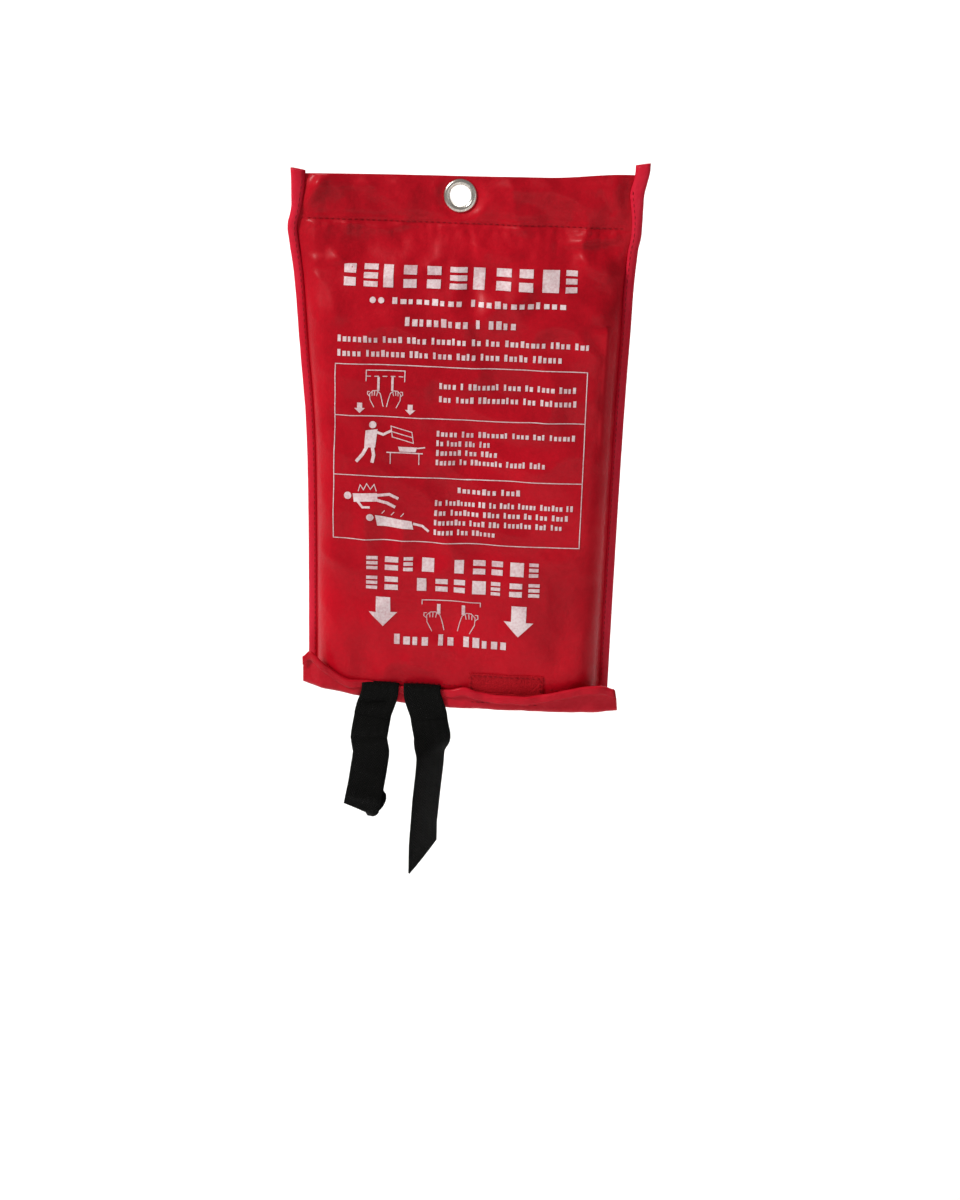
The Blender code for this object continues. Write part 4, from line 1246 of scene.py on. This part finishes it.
def over_the_lip(x, drift, end_z):
    """From the tack on the pack, out under the front panel's edge, over the lip, and down."""
    route = [(x, ROOT_Y, z) for z in np.linspace(TACK_Z, UNDER_MOUTH_Z + 0.0007, 20)]
    middle, radius = (ROOT_Y + RISER_Y) / 2, (ROOT_Y - RISER_Y) / 2
    for turn in np.linspace(0, 180, 9):
        angle = math.radians(turn)
        route.append((x, middle + radius * math.cos(angle), UNDER_MOUTH_Z - radius * math.sin(angle)))
    middle, radius = (HANG_Y + RISER_Y) / 2, (RISER_Y - HANG_Y) / 2
    route.append((x, RISER_Y, -0.2645))
    for turn in np.linspace(0, 180, 11):
        angle = math.radians(turn)
        route.append((x, middle + radius * math.cos(angle), OVER_LIP_Z + radius * math.sin(angle)))
    hang_z = OVER_LIP_Z - 0.0014
    for z in np.linspace(hang_z, end_z, 16):
        share = (z - hang_z) / (end_z - hang_z)
        route.append((x + drift * float(ease(share)) * 0.8 + drift * 0.2 * share, HANG_Y, z))
    return route


def square_across(route, turns=None):
    """Stations along a route, each with a width direction square to it, turned about it."""
    stations = []
    for n, point in enumerate(route):
        after = Vector(route[min(n + 1, len(route) - 1)])
        earlier = Vector(route[max(n - 1, 0)])
        tangent = (after - earlier).normalized()
        across = Vector((1, 0, 0)) - tangent * tangent.x
        if turns is not None:
            across = Matrix.Rotation(turns[n], 3, tangent) @ across
        stations.append((point, across, TAPE_HALF))
    return stations


SPLIT_Z = -0.2800
left_x, right_x = -0.0345, -0.0119
left_route = over_the_lip(left_x, -0.0040, SPLIT_Z)
left_break = len(left_route)
LEFT_FOLD_Z, RIGHT_END_Z = -0.3350, -0.3625
for share in np.linspace(0.0, 1.0, 34)[1:]:
    z = SPLIT_Z + (LEFT_FOLD_Z - SPLIT_Z) * share
    x = float(np.interp(
        z, (LEFT_FOLD_Z, -0.330, -0.3232, -0.312, -0.3005, -0.2917, -0.2800),
        (-0.0440, -0.0431, -0.0419, -0.0403, -0.0388, -0.0402, -0.0385),
    ))
    y = HANG_Y - 0.0026 * math.sin(math.pi * share * 2.4) * (1 - share)
    left_route.append((x, y, z))
left_stations = square_across(left_route)
left_upper, left_run = tape_piece(
    "left_pull_tape", left_stations[:left_break], 0.0,
    creases=[((-0.0135, -0.0790), (0.0120, -0.0665), 0.0015, 0.0017)],
)
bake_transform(left_upper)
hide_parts("left_tape_root", "left_tape")

left_stations = left_stations[left_break - 1:]
fold_at = Vector(left_route[-1])
fold_tilt, fold_radius = math.radians(-29), 0.0016
leaning = 6
for n in range(leaning):
    point, _, half = left_stations[n - leaning]
    tilt = fold_tilt * 0.5 * (n + 1) / leaning
    left_stations[n - leaning] = (point, (math.cos(tilt), 0, math.sin(tilt)), half)
for turn in np.linspace(20, 180, 9):
    angle = math.radians(turn)
    tilt = fold_tilt * 0.5 * 2 ** (turn / 90)
    way = Vector((math.cos(tilt), 0, math.sin(tilt)))
    tucked = 0.16 * TAPE_HALF * math.sin(angle / 2)
    spot = fold_at + Vector((0, fold_radius * (1 - math.cos(angle)), -fold_radius * math.sin(angle)))
    left_stations.append((spot - way * tucked, way, TAPE_HALF - tucked))
TAIL_LENGTH = 0.0150
tail_way = Vector((-math.sin(2 * fold_tilt), 0.02, math.cos(2 * fold_tilt)))
tail_across = (math.cos(2 * fold_tilt), 0, math.sin(2 * fold_tilt))
tail_start = Vector(left_stations[-1][0])
for share in np.linspace(0.08, 1.0, 12):
    rounding = 0.92 * math.sqrt(1 - max(0.0, (share - 0.25) / 0.78) ** 2)
    spot = tail_start + tail_way * (TAIL_LENGTH * share)
    left_stations.append((spot, tail_across, TAPE_HALF * rounding))
left_lower, _ = tape_piece(
    "left_pull_tape_end", left_stations, left_run,
    creases=[
        ((-0.014, -0.0950), (0.014, -0.0920), 0.0022, 0.0013),
        ((-0.014, -0.1110), (0.014, -0.1190), 0.0030, -0.0009),
        ((-0.014, -0.1290), (0.014, -0.1315), 0.0026, -0.0014),
    ],
)
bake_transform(left_lower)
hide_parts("left_tape_end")

right_route = over_the_lip(right_x, 0.0043, SPLIT_Z)
right_break = len(right_route)
right_turns = [0.0] * right_break
for share in np.linspace(0.0, 1.0, 56)[1:]:
    z = SPLIT_Z + (RIGHT_END_Z - SPLIT_Z) * share
    x = float(np.interp(
        z, (RIGHT_END_Z, -0.348, -0.325, -0.308, -0.290, -0.2800),
        (-0.0092, -0.0092, -0.0078, -0.0064, -0.0056, -0.0076),
    ))
    right_route.append((x, HANG_Y - 0.0012 * math.sin(math.pi * share), z))
    right_turns.append(-math.radians(48) * float(ease((-0.287 - z) / 0.014)))
right_stations = square_across(right_route, right_turns)
right_upper, right_run = tape_piece(
    "right_pull_tape", right_stations[:right_break], 0.0,
    creases=[((-0.0100, -0.0760), (0.0120, -0.0800), 0.0020, 0.0005)],
)
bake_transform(right_upper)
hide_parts("right_tape_root", "right_tape")
right_lower, _ = tape_piece(
    "right_pull_tape_end", right_stations[right_break - 1:], right_run,
    creases=[((0.004, -0.0860), (0.012, -0.0960), 0.0024, 0.0010)], slant=0.0066,
)
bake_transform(right_lower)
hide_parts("right_tape_end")

BLACK_THREAD = thread_finish("black_thread", (0.012, 0.012, 0.013), (0.040, 0.040, 0.042))
for node in ("left_tape_stitching", "right_tape_stitching"):
    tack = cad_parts[node]
    tack.data.materials.clear()
    tack.data.materials.append(BLACK_THREAD)

# ---- bounds of the shown pieces ---------------------------------------------------------
low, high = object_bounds()
